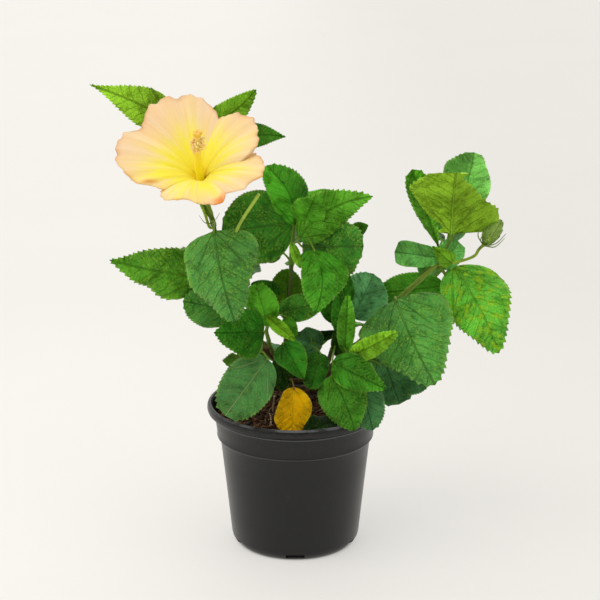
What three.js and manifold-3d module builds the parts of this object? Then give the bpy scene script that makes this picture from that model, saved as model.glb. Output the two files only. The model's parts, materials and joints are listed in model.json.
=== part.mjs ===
// A hibiscus shrub growing in a round plastic nursery pot.
// Millimetres, +Z up, origin at the centre of the pot's flat underside. The shrub's best side
// looks along -Y. Every solid is one closed body, and neighbours keep a gap of GAP.
import * as THREE from "three";
import { mergeVertices } from "three/addons/utils/BufferGeometryUtils.js";
import Module from "manifold-3d";

const wasm = await Module();
wasm.setup();

// ---------------------------------------------------------------- driving dimensions
const GAP = 0.3; // clear space left between two pieces that rest on each other

const POT = {
  height: 142,
  rimRadius: 85, // outside of the rolled lip
  lipHeight: 9,
  lipWall: 5,
  collarHeight: 25, // the upright band under the lip
  collarTop: 78.5, // its radius under the lip, and where it ends
  collarFoot: 75.5,
  shoulderRadius: 73.6, // where the long taper starts, just under the collar
  footRadius: 62.4, // where the taper meets the rounded foot
  footRound: 9,
  soleRadius: 50, // the flat underside that it stands on
  wall: 2,
  floor: 3,
  sides: 28,
  drainSlots: 6,
  drainWidth: 17,
  drainHeight: 4,
  drainDepth: 12,
};

const SOIL = { topBelowRim: 12, crown: 3 };
const SOIL_TOP = POT.height - SOIL.topBelowRim;

const TRUNK = { footRadius: 6.5, flare: 3, forkRadius: 4.2, sides: 9, stations: 6 };
const BOUGH = { sides: 6, stations: 5 };
const STEM_SIDES = 5;
const STALK = { radius: 1.5, sides: 3 }; // of a leaf
const LEAF = { thick: 1.8, arch: 0.05 }; // arch is the rise of its middle for each mm of length
const BIG_LEAF = 30; // a wider pad gets one more station along its length
const TIP = 0.05; // width that a pad keeps at its two ends, as a share of the full width

const BLOOM = {
  throat: [-86, -8, 358],
  axis: [-0.2, -0.515, 0.857], // the way the bloom looks
  radius: 73,
  depth: 46,
  petal: 2, // petal thickness
  columnLength: 67,
  columnLean: 13, // how far its end bends to the right
  columnRadius: 2.4,
  antherRadius: 7,
  calyxLength: 26,
  calyxRadius: 7,
};

// ---------------------------------------------------------------- solids
const Z = new THREE.Vector3(0, 0, 1);
const vec = (p) => new THREE.Vector3(...p);

// A closed skin over rings of equal point counts, with a flat cap on each end.
function loft(rings) {
  const count = rings[0].length;
  const position = rings.flat().flatMap((p) => [p.x, p.y, p.z]);
  const index = [];
  for (let ring = 0; ring + 1 < rings.length; ring++) {
    for (let i = 0; i < count; i++) {
      const a = ring * count + i;
      const b = ring * count + ((i + 1) % count);
      index.push(a, b, b + count, a, b + count, a + count);
    }
  }
  const last = (rings.length - 1) * count;
  for (let i = 1; i + 1 < count; i++) {
    index.push(0, i + 1, i);
    index.push(last, last + i, last + i + 1);
  }
  const geometry = new THREE.BufferGeometry();
  geometry.setAttribute("position", new THREE.Float32BufferAttribute(position, 3));
  geometry.setIndex(index);
  return geometry;
}

// Turns a closed three.js geometry into a solid, the right way out.
function solid(geometry) {
  const bare = geometry.clone();
  bare.deleteAttribute("normal");
  bare.deleteAttribute("uv");
  const merged = mergeVertices(bare, 1e-4);
  const vertProperties = Float32Array.from(merged.attributes.position.array);
  const triVerts = Uint32Array.from(merged.index.array);
  if (signedVolume(vertProperties, triVerts) < 0) {
    for (let i = 0; i < triVerts.length; i += 3) {
      [triVerts[i], triVerts[i + 1]] = [triVerts[i + 1], triVerts[i]];
    }
  }
  return new wasm.Manifold(new wasm.Mesh({ numProp: 3, vertProperties, triVerts }));
}

function signedVolume(xyz, triangles) {
  const corner = (i) => new THREE.Vector3().fromArray(xyz, 3 * triangles[i]);
  let six = 0;
  for (let i = 0; i < triangles.length; i += 3) {
    six += corner(i).dot(corner(i + 1).cross(corner(i + 2)));
  }
  return six;
}

function union(solids) {
  return solids.reduce((all, next) => all.add(next));
}

// The biggest single skin of a solid: cutting may have split it, and pads that cross each other
// may have closed off a pocket.
function biggest(shape) {
  const { vertProperties, triVerts } = shape.getMesh();
  const group = Array.from({ length: vertProperties.length / 3 }, (_, i) => i);
  const rootOf = (i) => {
    while (group[i] !== i) i = group[i] = group[group[i]];
    return i;
  };
  for (let i = 0; i < triVerts.length; i += 3) {
    group[rootOf(triVerts[i])] = rootOf(triVerts[i + 1]);
    group[rootOf(triVerts[i + 1])] = rootOf(triVerts[i + 2]);
  }
  const skins = new Map();
  for (let i = 0; i < triVerts.length; i += 3) {
    const root = rootOf(triVerts[i]);
    if (!skins.has(root)) skins.set(root, []);
    skins.get(root).push(...triVerts.slice(i, i + 3));
  }
  const volume = (triangles) => signedVolume(vertProperties, triangles);
  const outer = [...skins.values()].sort((a, b) => volume(b) - volume(a))[0];
  const mesh = new wasm.Mesh({ numProp: 3, vertProperties, triVerts: Uint32Array.from(outer) });
  return new wasm.Manifold(mesh);
}

function geometryOf(shape) {
  const mesh = shape.getMesh();
  const geometry = new THREE.BufferGeometry();
  const position = new Float32Array((mesh.vertProperties.length / mesh.numProp) * 3);
  for (let i = 0; i < position.length / 3; i++) {
    for (let k = 0; k < 3; k++) position[3 * i + k] = mesh.vertProperties[i * mesh.numProp + k];
  }
  geometry.setAttribute("position", new THREE.BufferAttribute(position, 3));
  geometry.setIndex(new THREE.BufferAttribute(Uint32Array.from(mesh.triVerts), 1));
  geometry.computeVertexNormals();
  return geometry;
}

// A round tapering limb through a few points. radiusAt gives the radius from 0, its foot, to 1.
function limb(points, radiusAt, sides, stations, grow) {
  const curve = new THREE.CatmullRomCurve3(points.map(vec), false, "centripetal");
  const frames = curve.computeFrenetFrames(stations, false);
  const rings = [];
  for (let k = 0; k <= stations; k++) {
    const t = k / stations;
    const centre = curve.getPointAt(t);
    const radius = radiusAt(t) + grow;
    const ring = [];
    for (let i = 0; i < sides; i++) {
      const turn = (2 * Math.PI * i) / sides;
      const out = frames.normals[k].clone().multiplyScalar(Math.cos(turn));
      out.addScaledVector(frames.binormals[k], Math.sin(turn));
      ring.push(centre.clone().addScaledVector(out, radius));
    }
    rings.push(ring);
  }
  return solid(loft(rings));
}

// A straight round rod from a to b.
function rod(a, b, radius, sides, grow) {
  return limb([a, b], () => radius, sides, 1, grow);
}

// A rod with a corner at each point between its ends.
function jointedRod(points, radius, sides, grow) {
  const at = points.map(vec);
  const rings = at.map((centre, k) => {
    const ahead = at[Math.min(k + 1, at.length - 1)].clone().sub(at[Math.max(k - 1, 0)]);
    const turn = new THREE.Quaternion().setFromUnitVectors(Z, ahead.normalize());
    return Array.from({ length: sides }, (_, i) => {
      const angle = (2 * Math.PI * i) / sides;
      const out = new THREE.Vector3(Math.cos(angle), Math.sin(angle), 0).applyQuaternion(turn);
      return centre.clone().addScaledVector(out, radius + grow);
    });
  });
  return solid(loft(rings));
}

// How wide each kind of leaf is along its length, as a share of its full width: a power of the
// distance from the foot times a power of the distance from the tip.
const OUTLINE = {
  ovate: { foot: 0.45, tip: 0.75 },
  long: { foot: 0.5, tip: 1.2 },
  round: { foot: 0.45, tip: 0.52 },
  wedge: { foot: 1.1, tip: 0.4 },
  strap: { foot: 0.65, tip: 0.8 },
};

function widthAt(kind, t) {
  const { foot, tip } = OUTLINE[kind];
  const peak = foot / (foot + tip);
  const share = (t ** foot * (1 - t) ** tip) / (peak ** foot * (1 - peak) ** tip);
  return Math.max(share, TIP);
}

// A thin closed pad for one leaf, from the foot of its blade to its tip. Its upper side looks
// as nearly along face as the blade's own direction allows, then is turned by roll degrees.
function leafPad(leaf, face, grow) {
  const foot = vec(leaf.foot);
  const along = vec(leaf.tip).sub(foot);
  const length = along.length();
  along.normalize();
  const up = vec(leaf.face ?? face);
  up.addScaledVector(along, -up.dot(along)).normalize();
  up.applyAxisAngle(along, THREE.MathUtils.degToRad(leaf.roll ?? 0));
  const side = new THREE.Vector3().crossVectors(up, along);
  const stations = leaf.width > BIG_LEAF ? [0, 0.14, 0.5, 0.84, 1] : [0, 0.28, 0.7, 1];
  const rings = stations.map((t) => {
    const bulge = 4 * t * (1 - t);
    const middle = foot.clone().addScaledVector(along, length * t);
    middle.addScaledVector(up, bulge * LEAF.arch * length);
    middle.addScaledVector(side, bulge * (leaf.bow ?? 0));
    const half = (widthAt(leaf.kind ?? "ovate", t) * leaf.width) / 2 + grow;
    const shift = (leaf.lean ?? 0) * leaf.width * Math.sin(Math.PI * t);
    const corner = (across, height) =>
      middle.clone().addScaledVector(side, across + shift).addScaledVector(up, height);
    const thick = LEAF.thick / 2 + grow;
    return [corner(half, thick), corner(-half, thick), corner(-half, -thick), corner(half, -thick)];
  });
  return solid(loft(rings));
}

// A spray: its own piece of stem, a leaf stalk from the stem to each leaf, and the leaf pads.
function spray(plan, grow) {
  const stem = plan.stem;
  const parts = [jointedRod(stem, plan.thick / 2, STEM_SIDES, grow)];
  for (const leaf of plan.leaves) {
    const root = stem[leaf.node ?? nearest(stem, leaf.foot)];
    parts.push(rod(root, leaf.foot, STALK.radius, STALK.sides, grow));
    parts.push(leafPad(leaf, plan.face ?? FRONT, grow));
  }
  return union(parts);
}

function nearest(stem, point) {
  const away = stem.map((p) => vec(p).distanceTo(vec(point)));
  return away.indexOf(Math.min(...away));
}

// Leaves spread round the hidden side of a shoot: their headings step through the fan by the
// golden ratio, and each one up the stem is a little shorter and stands a little steeper.
function fan({ stem, thick, count, headings, rise, length, width, stalk, face }) {
  const curve = new THREE.CatmullRomCurve3(stem.map(vec));
  const nodes = [stem[0]];
  const leaves = [];
  for (let k = 0; k < count; k++) {
    const t = (k + 1) / count;
    const node = curve.getPointAt(t);
    nodes.push(node.toArray());
    const turn = (k * 0.618 + 0.3) % 1;
    const heading = THREE.MathUtils.degToRad(THREE.MathUtils.lerp(...headings, turn));
    const lift = THREE.MathUtils.degToRad(THREE.MathUtils.lerp(...rise, t));
    const out = new THREE.Vector3(Math.cos(heading), Math.sin(heading), 0);
    const foot = node.clone().addScaledVector(out, stalk);
    foot.z += stalk * 0.6;
    const size = 1 - 0.25 * t;
    const tip = foot.clone().addScaledVector(out, Math.cos(lift) * length * size);
    tip.z += Math.sin(lift) * length * size;
    leaves.push({
      foot: foot.toArray(),
      tip: tip.toArray(),
      width: width * size,
      node: k + 1,
    });
  }
  return { stem: nodes, thick, leaves, face };
}

// ---------------------------------------------------------------- pot and soil
function potSolid() {
  const p = POT;
  const lipFoot = p.height - p.lipHeight;
  const collarFoot = lipFoot - p.collarHeight;
  const inner = p.rimRadius - p.lipWall;
  const outline = [
    [0, 0],
    [p.soleRadius, 0],
    [p.footRadius - 2, p.footRound * 0.4],
    [p.footRadius, p.footRound],
    [p.shoulderRadius, collarFoot - 2],
    [p.collarFoot, collarFoot],
    [p.collarTop, lipFoot - 1],
    [p.rimRadius, lipFoot],
    [p.rimRadius, p.height - 2],
    [p.rimRadius - 2, p.height],
    [inner, p.height - 2],
    [p.collarTop - p.wall, lipFoot - 3],
    [p.shoulderRadius - p.wall, collarFoot - 3],
    [p.footRadius - p.wall, p.footRound + 1],
    [p.soleRadius - 1, p.floor],
    [0, p.floor],
  ];
  const points = outline.map(([r, z]) => new THREE.Vector2(r, z));
  return { body: solid(turned(points, p.sides)), inside: outline.slice(11) };
}

// A profile of (radius, height) points turned about the Z axis.
function turned(points, sides) {
  return new THREE.LatheGeometry(points, sides).rotateX(Math.PI / 2);
}

// Notches through the foot's outer corner, which let water out from under the pot.
function drainSlots() {
  const slots = [];
  for (let k = 0; k < POT.drainSlots; k++) {
    const block = new THREE.BoxGeometry(POT.drainWidth, POT.drainDepth, 2 * POT.drainHeight);
    block.translate(0, -(POT.footRadius - 2), 0);
    block.rotateZ((2 * Math.PI * k) / POT.drainSlots);
    slots.push(solid(block));
  }
  return union(slots);
}

// The soil fills the pot to a low crown, GAP clear of the wall and the floor.
function soilSolid(inside) {
  const wallRadius = (z) => {
    for (let i = 0; i + 1 < inside.length; i++) {
      const [r1, z1] = inside[i];
      const [r0, z0] = inside[i + 1];
      if (z <= z1 && z >= z0) return r0 + ((r1 - r0) * (z - z0)) / (z1 - z0);
    }
    return inside[0][0];
  };
  const floor = POT.floor + GAP;
  const corners = inside.filter(([, z]) => z > floor && z < SOIL_TOP - SOIL.crown);
  const side = corners.map(([r, z]) => [r - GAP, z]).reverse();
  const edge = SOIL_TOP - SOIL.crown;
  const points = [
    [0, floor],
    [wallRadius(floor) - 2 * GAP, floor],
    ...side,
    [wallRadius(edge) - 2 * GAP, edge],
    [50, SOIL_TOP - 1],
    [22, SOIL_TOP],
    [0, SOIL_TOP],
  ].map(([r, z]) => new THREE.Vector2(r, z));
  return solid(turned(points, POT.sides));
}

// ---------------------------------------------------------------- the bloom
// Each petal: the way it points round the bloom (0 is the top one, clockwise seen from the
// front), half of the angle it covers at the rim, and how far it reaches, as a share.
const PETALS = [
  { at: -25, half: 40, reach: 1.0 },
  { at: 55, half: 38, reach: 0.96 },
  { at: 109, half: 27, reach: 1.15 },
  { at: 159, half: 26, reach: 0.98 },
  { at: 246, half: 42, reach: 0.98 },
];

function bloomSolid(grow) {
  const throat = vec(BLOOM.throat);
  const axis = vec(BLOOM.axis).normalize();
  const top = new THREE.Vector3(0, 0, 1).addScaledVector(axis, -axis.z).normalize();
  const right = new THREE.Vector3().crossVectors(axis, top).negate();
  const place = (radius, height, degrees) => {
    const turn = THREE.MathUtils.degToRad(degrees);
    return throat
      .clone()
      .addScaledVector(axis, height)
      .addScaledVector(top, radius * Math.cos(turn))
      .addScaledVector(right, radius * Math.sin(turn));
  };
  const petals = PETALS.map(({ at, half, reach }) => {
    const rings = [0.06, 0.5, 0.9, 1].map((t) => {
      const radius = BLOOM.radius * reach * (0.25 * t + 0.75 * t * t);
      const height = BLOOM.depth * reach * (1.35 * t - 0.35 * t * t * t);
      const spread = half * (t < 1 ? 1 : 0.7);
      const thick = BLOOM.petal / 2 + grow;
      const slope = Math.atan2(BLOOM.depth, BLOOM.radius);
      const across = [-1, -0.55, 0, 0.55, 1];
      const face = (side) =>
        across.map((s) =>
          place(
            radius - side * thick * Math.sin(slope),
            height + side * thick * Math.cos(slope),
            at + spread * s,
          ),
        );
      return [...face(1), ...face(-1).reverse()];
    });
    return solid(loft(rings));
  });
  const end = place(BLOOM.columnLean, BLOOM.columnLength, 90).toArray();
  const anthers = place(BLOOM.columnLean * 0.7, BLOOM.columnLength * 0.72, 90).toArray();
  const calyxFoot = place(0, -BLOOM.calyxLength, 0).toArray();
  const calyxTop = place(0, 12, 0).toArray();
  const column = rod(calyxTop, end, BLOOM.columnRadius, 6, grow);
  const brush = solid(
    new THREE.IcosahedronGeometry(BLOOM.antherRadius + grow, 0).translate(...anthers),
  );
  const calyxRadius = (t) => 2.6 + (BLOOM.calyxRadius - 2.6) * Math.sin((Math.PI / 2) * t);
  const calyx = limb([calyxFoot, calyxTop], calyxRadius, 6, 2, grow);
  return union([...petals, column, brush, calyx]);
}

// The closed bud at the end of its long stalk, held in its calyx.
const BUD = {
  stalk: [[137, -7, 278], [152, -10, 283], [167, -12, 289], [172, -12, 296], [177, -12, 301]],
  tip: [190, -14, 322],
};

function budSolid(grow) {
  const stalk = limb(BUD.stalk, (t) => 1.3 + 0.5 * t, 5, 4, grow);
  const foot = BUD.stalk.at(-1);
  const swell = (t) => 1.8 + 7.4 * Math.sin(Math.PI * Math.min(1, 0.12 + 0.84 * t)) ** 0.8;
  return stalk.add(limb([foot, BUD.tip], swell, 7, 5, grow));
}

// ---------------------------------------------------------------- limbs
// One row for each limb: its route, and its diameter at its foot and at its tip.
const LIMBS = {
  bough_left: { route: [[-14, -2, 180], [-25, -7, 193], [-37, -12, 197], [-49, -15, 207]], from: 8, to: 6 },
  stem_bloom: { route: [[-76, -5, 318], [-79, 0, 326], [-82, 5, 335.6]], from: 5.4, to: 4.6 },
  bough_centre: { route: [[-13, 2, 174], [-9, 4, 202], [-6, 5, 239], [-3, 4, 276]], from: 6.5, to: 4.8 },
  bough_young: { route: [[-14, -4, 179], [-21, -13, 194], [-25, -18, 206]], from: 5, to: 3.6 },
  bough_mid: { route: [[-10, 3, 162], [9, 2, 162], [28, -2, 174], [35, -4, 195]], from: 5.5, to: 4 },
  bough_right_low: { route: [[-10, 0, 154], [20, 8, 154], [56, 8, 190], [81, 2, 224]], from: 7.5, to: 6 },
  bough_right: { route: [[81.5, 2, 224.8], [98, -4, 245], [116, -6, 263], [134, -6, 280]], from: 6, to: 4.6 },
  bough_low_right: {
    route: [[-8, -2, 144], [20, -14, 161], [46, -19, 180], [57, -17, 185]],
    from: 4.6,
    to: 3.4,
  },
  bough_back_left: { route: [[-13, 2, 170], [-23, 18, 183], [-39, 32, 198]], from: 6, to: 4.6 },
  bough_back_centre: { route: [[-11, 5, 160], [-7, 20, 193], [-4, 28, 255]], from: 5.6, to: 4.2 },
  bough_back_right: { route: [[-8, 5, 146], [20, 30, 152], [52, 42, 180]], from: 6.4, to: 4.8 },
};

function trunkSolid(grow) {
  const foot = SOIL_TOP + GAP - grow;
  const rise = [[-9, 2.5, 147], [-11.5, 1, 164], [-14.5, -1.5, 182]];
  const route = [[-6, 4, foot], [-6.6, 3.8, foot + 7], ...rise];
  const taper = (t) => THREE.MathUtils.lerp(TRUNK.footRadius, TRUNK.forkRadius, t);
  return limb(route, (t) => taper(t) + TRUNK.flare * Math.exp(-14 * t), TRUNK.sides, TRUNK.stations, grow);
}

function limbSolid({ route, from, to }, grow) {
  return limb(route, (t) => THREE.MathUtils.lerp(from, to, t) / 2, BOUGH.sides, BOUGH.stations, grow);
}

// ---------------------------------------------------------------- sprays of foliage
// Each leaf is one row: the foot of its blade, its tip, and its full width. Leaves of the front
// sprays look forwards and a little up.
const FRONT = [0, -0.97, 0.24];
const BACK = [0, 0.75, 0.66];

const SPRAYS = {
  bloom_leaves: {
    stem: [[-77, -4, 321], [-85, 3, 331], [-90, 20, 339], [-88, 38, 367], [-86, 42, 389]],
    thick: 3.2,
    leaves: [
      { foot: [-119, 46, 407], tip: [-192, 36, 443], width: 37, kind: "long", lean: -0.05 },
      { foot: [-86, 46, 403], tip: [-36, 36, 438], width: 26, lean: -0.2 },
      { foot: [-56, 40, 390], tip: [-9, 30, 394], width: 23, kind: "long", lean: 0.12 },
      { foot: [-94, 54, 369], tip: [-123, 104, 360], width: 44, face: BACK, node: 3 },
      { foot: [-80, 56, 383], tip: [-55, 100, 388], width: 40, face: BACK, node: 4 },
    ],
  },
  spray_left: {
    stem: [[-49.2, -15, 207.9], [-58, -14, 235], [-68, -11, 275], [-75.4, -5.4, 317]],
    thick: 5,
    leaves: [
      { foot: [-84, -34, 276], tip: [-168, -60, 298], width: 44, lean: 0.05, node: 2 },
      { foot: [-74, -50, 323], tip: [-54, -90, 248], width: 66, lean: -0.03, node: 3 },
      { foot: [-58, -30, 241], tip: [-103, -48, 256], width: 39, kind: "round", node: 1 },
    ],
  },
  spray_left_low: {
    stem: [[-33, -11, 197], [-32, -30, 202]],
    thick: 3,
    leaves: [
      { foot: [-29, -38, 224], tip: [-74, -72, 233], width: 43 },
      { foot: [-26, -38, 197], tip: [-64, -84, 157], width: 47, kind: "round" },
      { foot: [-35, -24, 188], tip: [-65, -40, 183], width: 20 },
    ],
  },
  spray_centre: {
    stem: [[-3, 4, 276.4], [-2, 1, 298], [-1, -2, 318]],
    thick: 4.4,
    leaves: [
      { foot: [-2, -8, 321], tip: [-67, -28, 317], width: 67, kind: "round" },
      { foot: [0, -10, 318], tip: [-26, -30, 379], width: 35, lean: -0.22 },
      { foot: [8, -24, 324], tip: [19, -62, 359], width: 31, kind: "round" },
      { foot: [8, 2, 327], tip: [35, 16, 345], width: 23 },
      { foot: [4, -28, 311], tip: [71, -56, 357], width: 39, bow: 9 },
      { foot: [6, -20, 301], tip: [62, -62, 312], width: 52, kind: "round" },
      { foot: [18, -46, 305], tip: [15, -80, 255], width: 39, lean: 0.12 },
    ],
  },
  spray_young: {
    stem: [[-25, -18, 206.9], [-27, -20, 220], [-21, -12, 229]],
    thick: 3.2,
    leaves: [
      { foot: [-9, 0, 230], tip: [-7, 10, 271], width: 32, kind: "round" },
      { foot: [-25, -26, 225], tip: [-36, -44, 272], width: 29, kind: "round" },
      { foot: [-15, -12, 234], tip: [27, -26, 249], width: 25 },
    ],
  },
  spray_mid: {
    stem: [[35.1, -4, 195.2], [40, -8, 203], [46, -8, 221]],
    thick: 3.6,
    leaves: [
      { foot: [55, 4, 223], tip: [75, 20, 263], width: 48, kind: "round" },
      { foot: [53, 8, 220], tip: [26, 12, 237], width: 24 },
      { foot: [50, 6, 234], tip: [41, 14, 270], width: 20 },
      { foot: [47, -28, 198], tip: [49, -42, 259], width: 14, kind: "strap" },
      { foot: [46, -16, 208], tip: [42, -24, 260], width: 20, kind: "strap" },
      { foot: [51, -32, 198], tip: [95, -58, 233], width: 15, kind: "strap" },
      { foot: [35, -42, 195], tip: [83, -84, 183], width: 27 },
    ],
  },
  spray_low: {
    stem: [[-8, -2, 170], [4, -12, 187], [14, -14, 201]],
    thick: 3,
    leaves: [
      { foot: [-3, -22, 211], tip: [6, -52, 181], width: 31, kind: "round" },
      { foot: [25, -24, 198], tip: [15, -54, 172], width: 27, kind: "round" },
    ],
  },
  spray_right_top: {
    stem: [[134, -6, 280.8], [139, -6, 288], [145, -5, 302]],
    thick: 4.2,
    leaves: [
      { foot: [135, 0, 295], tip: [107, -24, 374], width: 22, kind: "wedge" },
      { foot: [147, -6, 311], tip: [145, -66, 378], width: 79, kind: "round" },
      { foot: [155, 8, 325], tip: [165, -14, 388], width: 43 },
      { foot: [122, 8, 268], tip: [130, 56, 280], width: 66, kind: "round", node: 1 },
    ],
  },
  spray_right_hang: {
    stem: [[136.1, -4, 278], [142, 0, 268]],
    thick: 3,
    leaves: [
      { foot: [149, 1, 275], tip: [189, -50, 206], width: 60, kind: "round", lean: 0.06, node: 0 },
      { foot: [142, 14, 253], tip: [82, 26, 242], width: 32, kind: "round", node: 1 },
    ],
  },
  spray_right_front: {
    stem: [[92, -4, 241], [93, -16, 247]],
    thick: 2.8,
    leaves: [{ foot: [94, -30, 253], tip: [128, -84, 187], width: 82, lean: -0.03 }],
  },
  spray_low_right: {
    stem: [[57.8, -17, 185.6], [69, -12, 188]],
    thick: 3,
    leaves: [
      { foot: [82, -4, 194], tip: [99, -34, 150], width: 51, kind: "round" },
      { foot: [90, -16, 173], tip: [126, -38, 170], width: 28 },
      { foot: [34, -42, 182], tip: [55, -78, 140], width: 43 },
      { foot: [61, -34, 176], tip: [72, -66, 136], width: 34 },
    ],
  },
  yellow_leaf: {
    stem: [[-7, -3, 152], [-5, -26, 172]],
    thick: 2.2,
    leaves: [{ foot: [-1, -54, 174], tip: [-3, -67, 131], width: 32, kind: "round" }],
  },
  leaf_in_pot: {
    stem: [[-4, -57, 129.7], [2, -58.6, 130.5]],
    thick: 2.4,
    leaves: [{ foot: [8, -60, 131], tip: [42, -46, 138], width: 27, face: [0, -0.4, 0.9] }],
  },
  spray_back_left: fan({
    stem: [[-39.7, 32.2, 197.9], [-61, 42, 224], [-79, 48, 254]],
    thick: 4.2, count: 4, headings: [62, 140], rise: [-25, 20],
    length: 74, width: 52, stalk: 14, face: BACK,
  }),
  spray_back_centre: fan({
    stem: [[-4, 28.4, 255.4], [-4, 38, 279], [-1, 44, 300]],
    thick: 3.8, count: 4, headings: [25, 160], rise: [-15, 25],
    length: 62, width: 48, stalk: 14, face: BACK,
  }),
  spray_back_right: fan({
    stem: [[52.4, 42.2, 180.2], [82, 48, 198], [108, 50, 226]],
    thick: 4.2, count: 4, headings: [15, 120], rise: [-30, 10],
    length: 72, width: 52, stalk: 14, face: BACK,
  }),
  spray_back_low: fan({
    stem: [[-5, 8, 146], [-10, 30, 155], [-12, 48, 162]],
    thick: 3.4, count: 3, headings: [30, 160], rise: [-6, 12],
    length: 64, width: 46, stalk: 14, face: BACK,
  }),
  spray_back_top: fan({
    stem: [[137, -4, 281.7], [144, 12, 293], [150, 26, 315]],
    thick: 3, count: 3, headings: [40, 120], rise: [5, 40],
    length: 50, width: 38, stalk: 12, face: BACK,
  }),
};

// ---------------------------------------------------------------- colours and assembly
const FINISH = {
  pot: { color: 0x2d2e2e, roughness: 0.42 },
  soil: { color: 0x35241a, roughness: 0.95 },
  bark: { color: 0x5a4130, roughness: 0.85 },
  greenStem: { color: 0x7f9640, roughness: 0.55 },
  leaf: { color: 0x2f6a20, roughness: 0.38 },
  youngLeaf: { color: 0x6f9a1c, roughness: 0.42 },
  yellowLeaf: { color: 0xc9940f, roughness: 0.6 },
  bloom: { color: 0xf7cb96, roughness: 0.6 },
};

const YOUNG = ["spray_right_top", "spray_back_top", "bloom_leaves"];
const GREEN_LIMBS = ["stem_bloom", "bough_right", "bough_centre", "bough_young", "bough_mid"];

const shrub = new THREE.Group();
const placed = []; // what a new piece is cut back from: the grown copy of every earlier one

function place(name, shape, grown, finish) {
  const kept = placed.reduce((left, other) => left.subtract(other), shape);
  const material = new THREE.MeshStandardMaterial({ ...FINISH[finish], metalness: 0 });
  const mesh = new THREE.Mesh(geometryOf(biggest(kept)), material);
  mesh.name = name;
  shrub.add(mesh);
  if (grown) placed.push(grown);
}

const { body: potBody, inside: potInside } = potSolid();
place("pot", potBody.subtract(drainSlots()), null, "pot");
const soil = soilSolid(potInside);
place("soil", soil, null, "soil");
placed.push(potBody);
placed.push(soil.translate([0, 0, GAP]));

place("trunk", trunkSolid(0), trunkSolid(GAP), "bark");
for (const [name, plan] of Object.entries(LIMBS)) {
  const finish = GREEN_LIMBS.includes(name) ? "greenStem" : "bark";
  place(name, limbSolid(plan, 0), limbSolid(plan, GAP), finish);
}
place("bloom", bloomSolid(0), bloomSolid(GAP), "bloom");
place("bud", budSolid(0), budSolid(GAP), "greenStem");
for (const [name, plan] of Object.entries(SPRAYS)) {
  const young = YOUNG.includes(name) ? "youngLeaf" : "leaf";
  place(name, spray(plan, 0), spray(plan, GAP), name === "yellow_leaf" ? "yellowLeaf" : young);
}

export default shrub;
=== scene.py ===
# %% [markdown]
# # A hibiscus in its nursery pot
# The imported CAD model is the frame: it says where the pot, the soil, every limb and every spray of
# foliage is. This script keeps all of those places and gives each piece its real surface.
# Everything is in metres, +Z up, with the pot standing on the origin and the bloom looking along -Y.
# A millimetre is written as MM, so that sizes read as they would on a ruler.

# %% Load the frame
import json
import math

import bpy
import numpy as np
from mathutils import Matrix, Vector


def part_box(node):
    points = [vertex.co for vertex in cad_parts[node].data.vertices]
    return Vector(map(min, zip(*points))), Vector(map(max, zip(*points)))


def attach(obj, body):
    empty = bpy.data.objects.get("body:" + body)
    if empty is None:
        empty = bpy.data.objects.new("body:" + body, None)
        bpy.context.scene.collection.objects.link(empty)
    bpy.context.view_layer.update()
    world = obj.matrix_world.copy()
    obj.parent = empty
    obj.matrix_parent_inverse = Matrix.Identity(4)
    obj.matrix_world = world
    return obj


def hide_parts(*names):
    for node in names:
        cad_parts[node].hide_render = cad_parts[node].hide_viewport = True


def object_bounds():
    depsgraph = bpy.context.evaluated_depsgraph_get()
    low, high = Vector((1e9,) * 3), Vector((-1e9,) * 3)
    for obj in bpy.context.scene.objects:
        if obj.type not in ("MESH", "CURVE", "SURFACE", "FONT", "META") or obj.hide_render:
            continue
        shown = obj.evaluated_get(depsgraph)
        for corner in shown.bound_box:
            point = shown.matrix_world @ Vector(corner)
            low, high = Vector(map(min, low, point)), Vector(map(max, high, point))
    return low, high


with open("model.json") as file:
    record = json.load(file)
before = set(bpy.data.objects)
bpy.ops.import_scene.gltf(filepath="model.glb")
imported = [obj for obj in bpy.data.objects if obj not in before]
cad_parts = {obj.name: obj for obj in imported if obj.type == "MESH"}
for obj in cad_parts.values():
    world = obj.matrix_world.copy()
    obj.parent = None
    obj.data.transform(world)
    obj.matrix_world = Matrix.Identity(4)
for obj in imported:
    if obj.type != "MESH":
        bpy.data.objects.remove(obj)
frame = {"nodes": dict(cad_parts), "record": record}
cad_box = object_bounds()
MM = 0.001
ROUND = 6.28  # a full turn in radians, for turns that are left to chance
GOLDEN = 2.4  # a turn in radians that never brings two neighbours into line
rng = np.random.default_rng(41)
print("CAD nodes:", len(frame["nodes"]), "overall box:", cad_box)

# %% [markdown]
# ## Camera
# A long lens from a metre and a half away keeps the pot's rings nearly true ellipses. The camera
# stands a little above the plant and looks down at it, so the soil shows inside the rim.
# Its height and distance are counted in heights of the plant, which the frame gives.

# %% Camera
plant_high = cad_box[1][2]
CAMERA_AWAY = 3.552 * plant_high
CAMERA_UP = 1.606 * plant_high
CAMERA_ASIDE = 4.6 * MM
CAMERA_PITCH = math.radians(16.6)

bpy.ops.object.camera_add(
    location=(CAMERA_ASIDE, -CAMERA_AWAY, CAMERA_UP),
    rotation=(math.pi / 2 - CAMERA_PITCH, 0, 0),
)
camera = bpy.context.object
camera.data.sensor_width = 36
camera.data.lens = 103.9
camera.data.clip_end = 60
bpy.context.scene.camera = camera
print("camera at", tuple(round(v, 3) for v in camera.location), "lens", camera.data.lens, "mm")

# %% [markdown]
# ## Small helpers for operators
# An operator works on whatever is selected, and the frame leaves its nodes selected. So every
# step starts from a clean selection, and every new primitive becomes the one active object.

# %% Selection helpers
def only(obj):
    """Selects obj alone and makes it active."""
    bpy.ops.object.select_all(action="DESELECT")
    obj.select_set(True)
    bpy.context.view_layer.objects.active = obj


def edit(obj):
    """Opens obj in edit mode with all of it selected."""
    only(obj)
    bpy.ops.object.mode_set(mode="EDIT")
    bpy.ops.mesh.select_all(action="SELECT")


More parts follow.
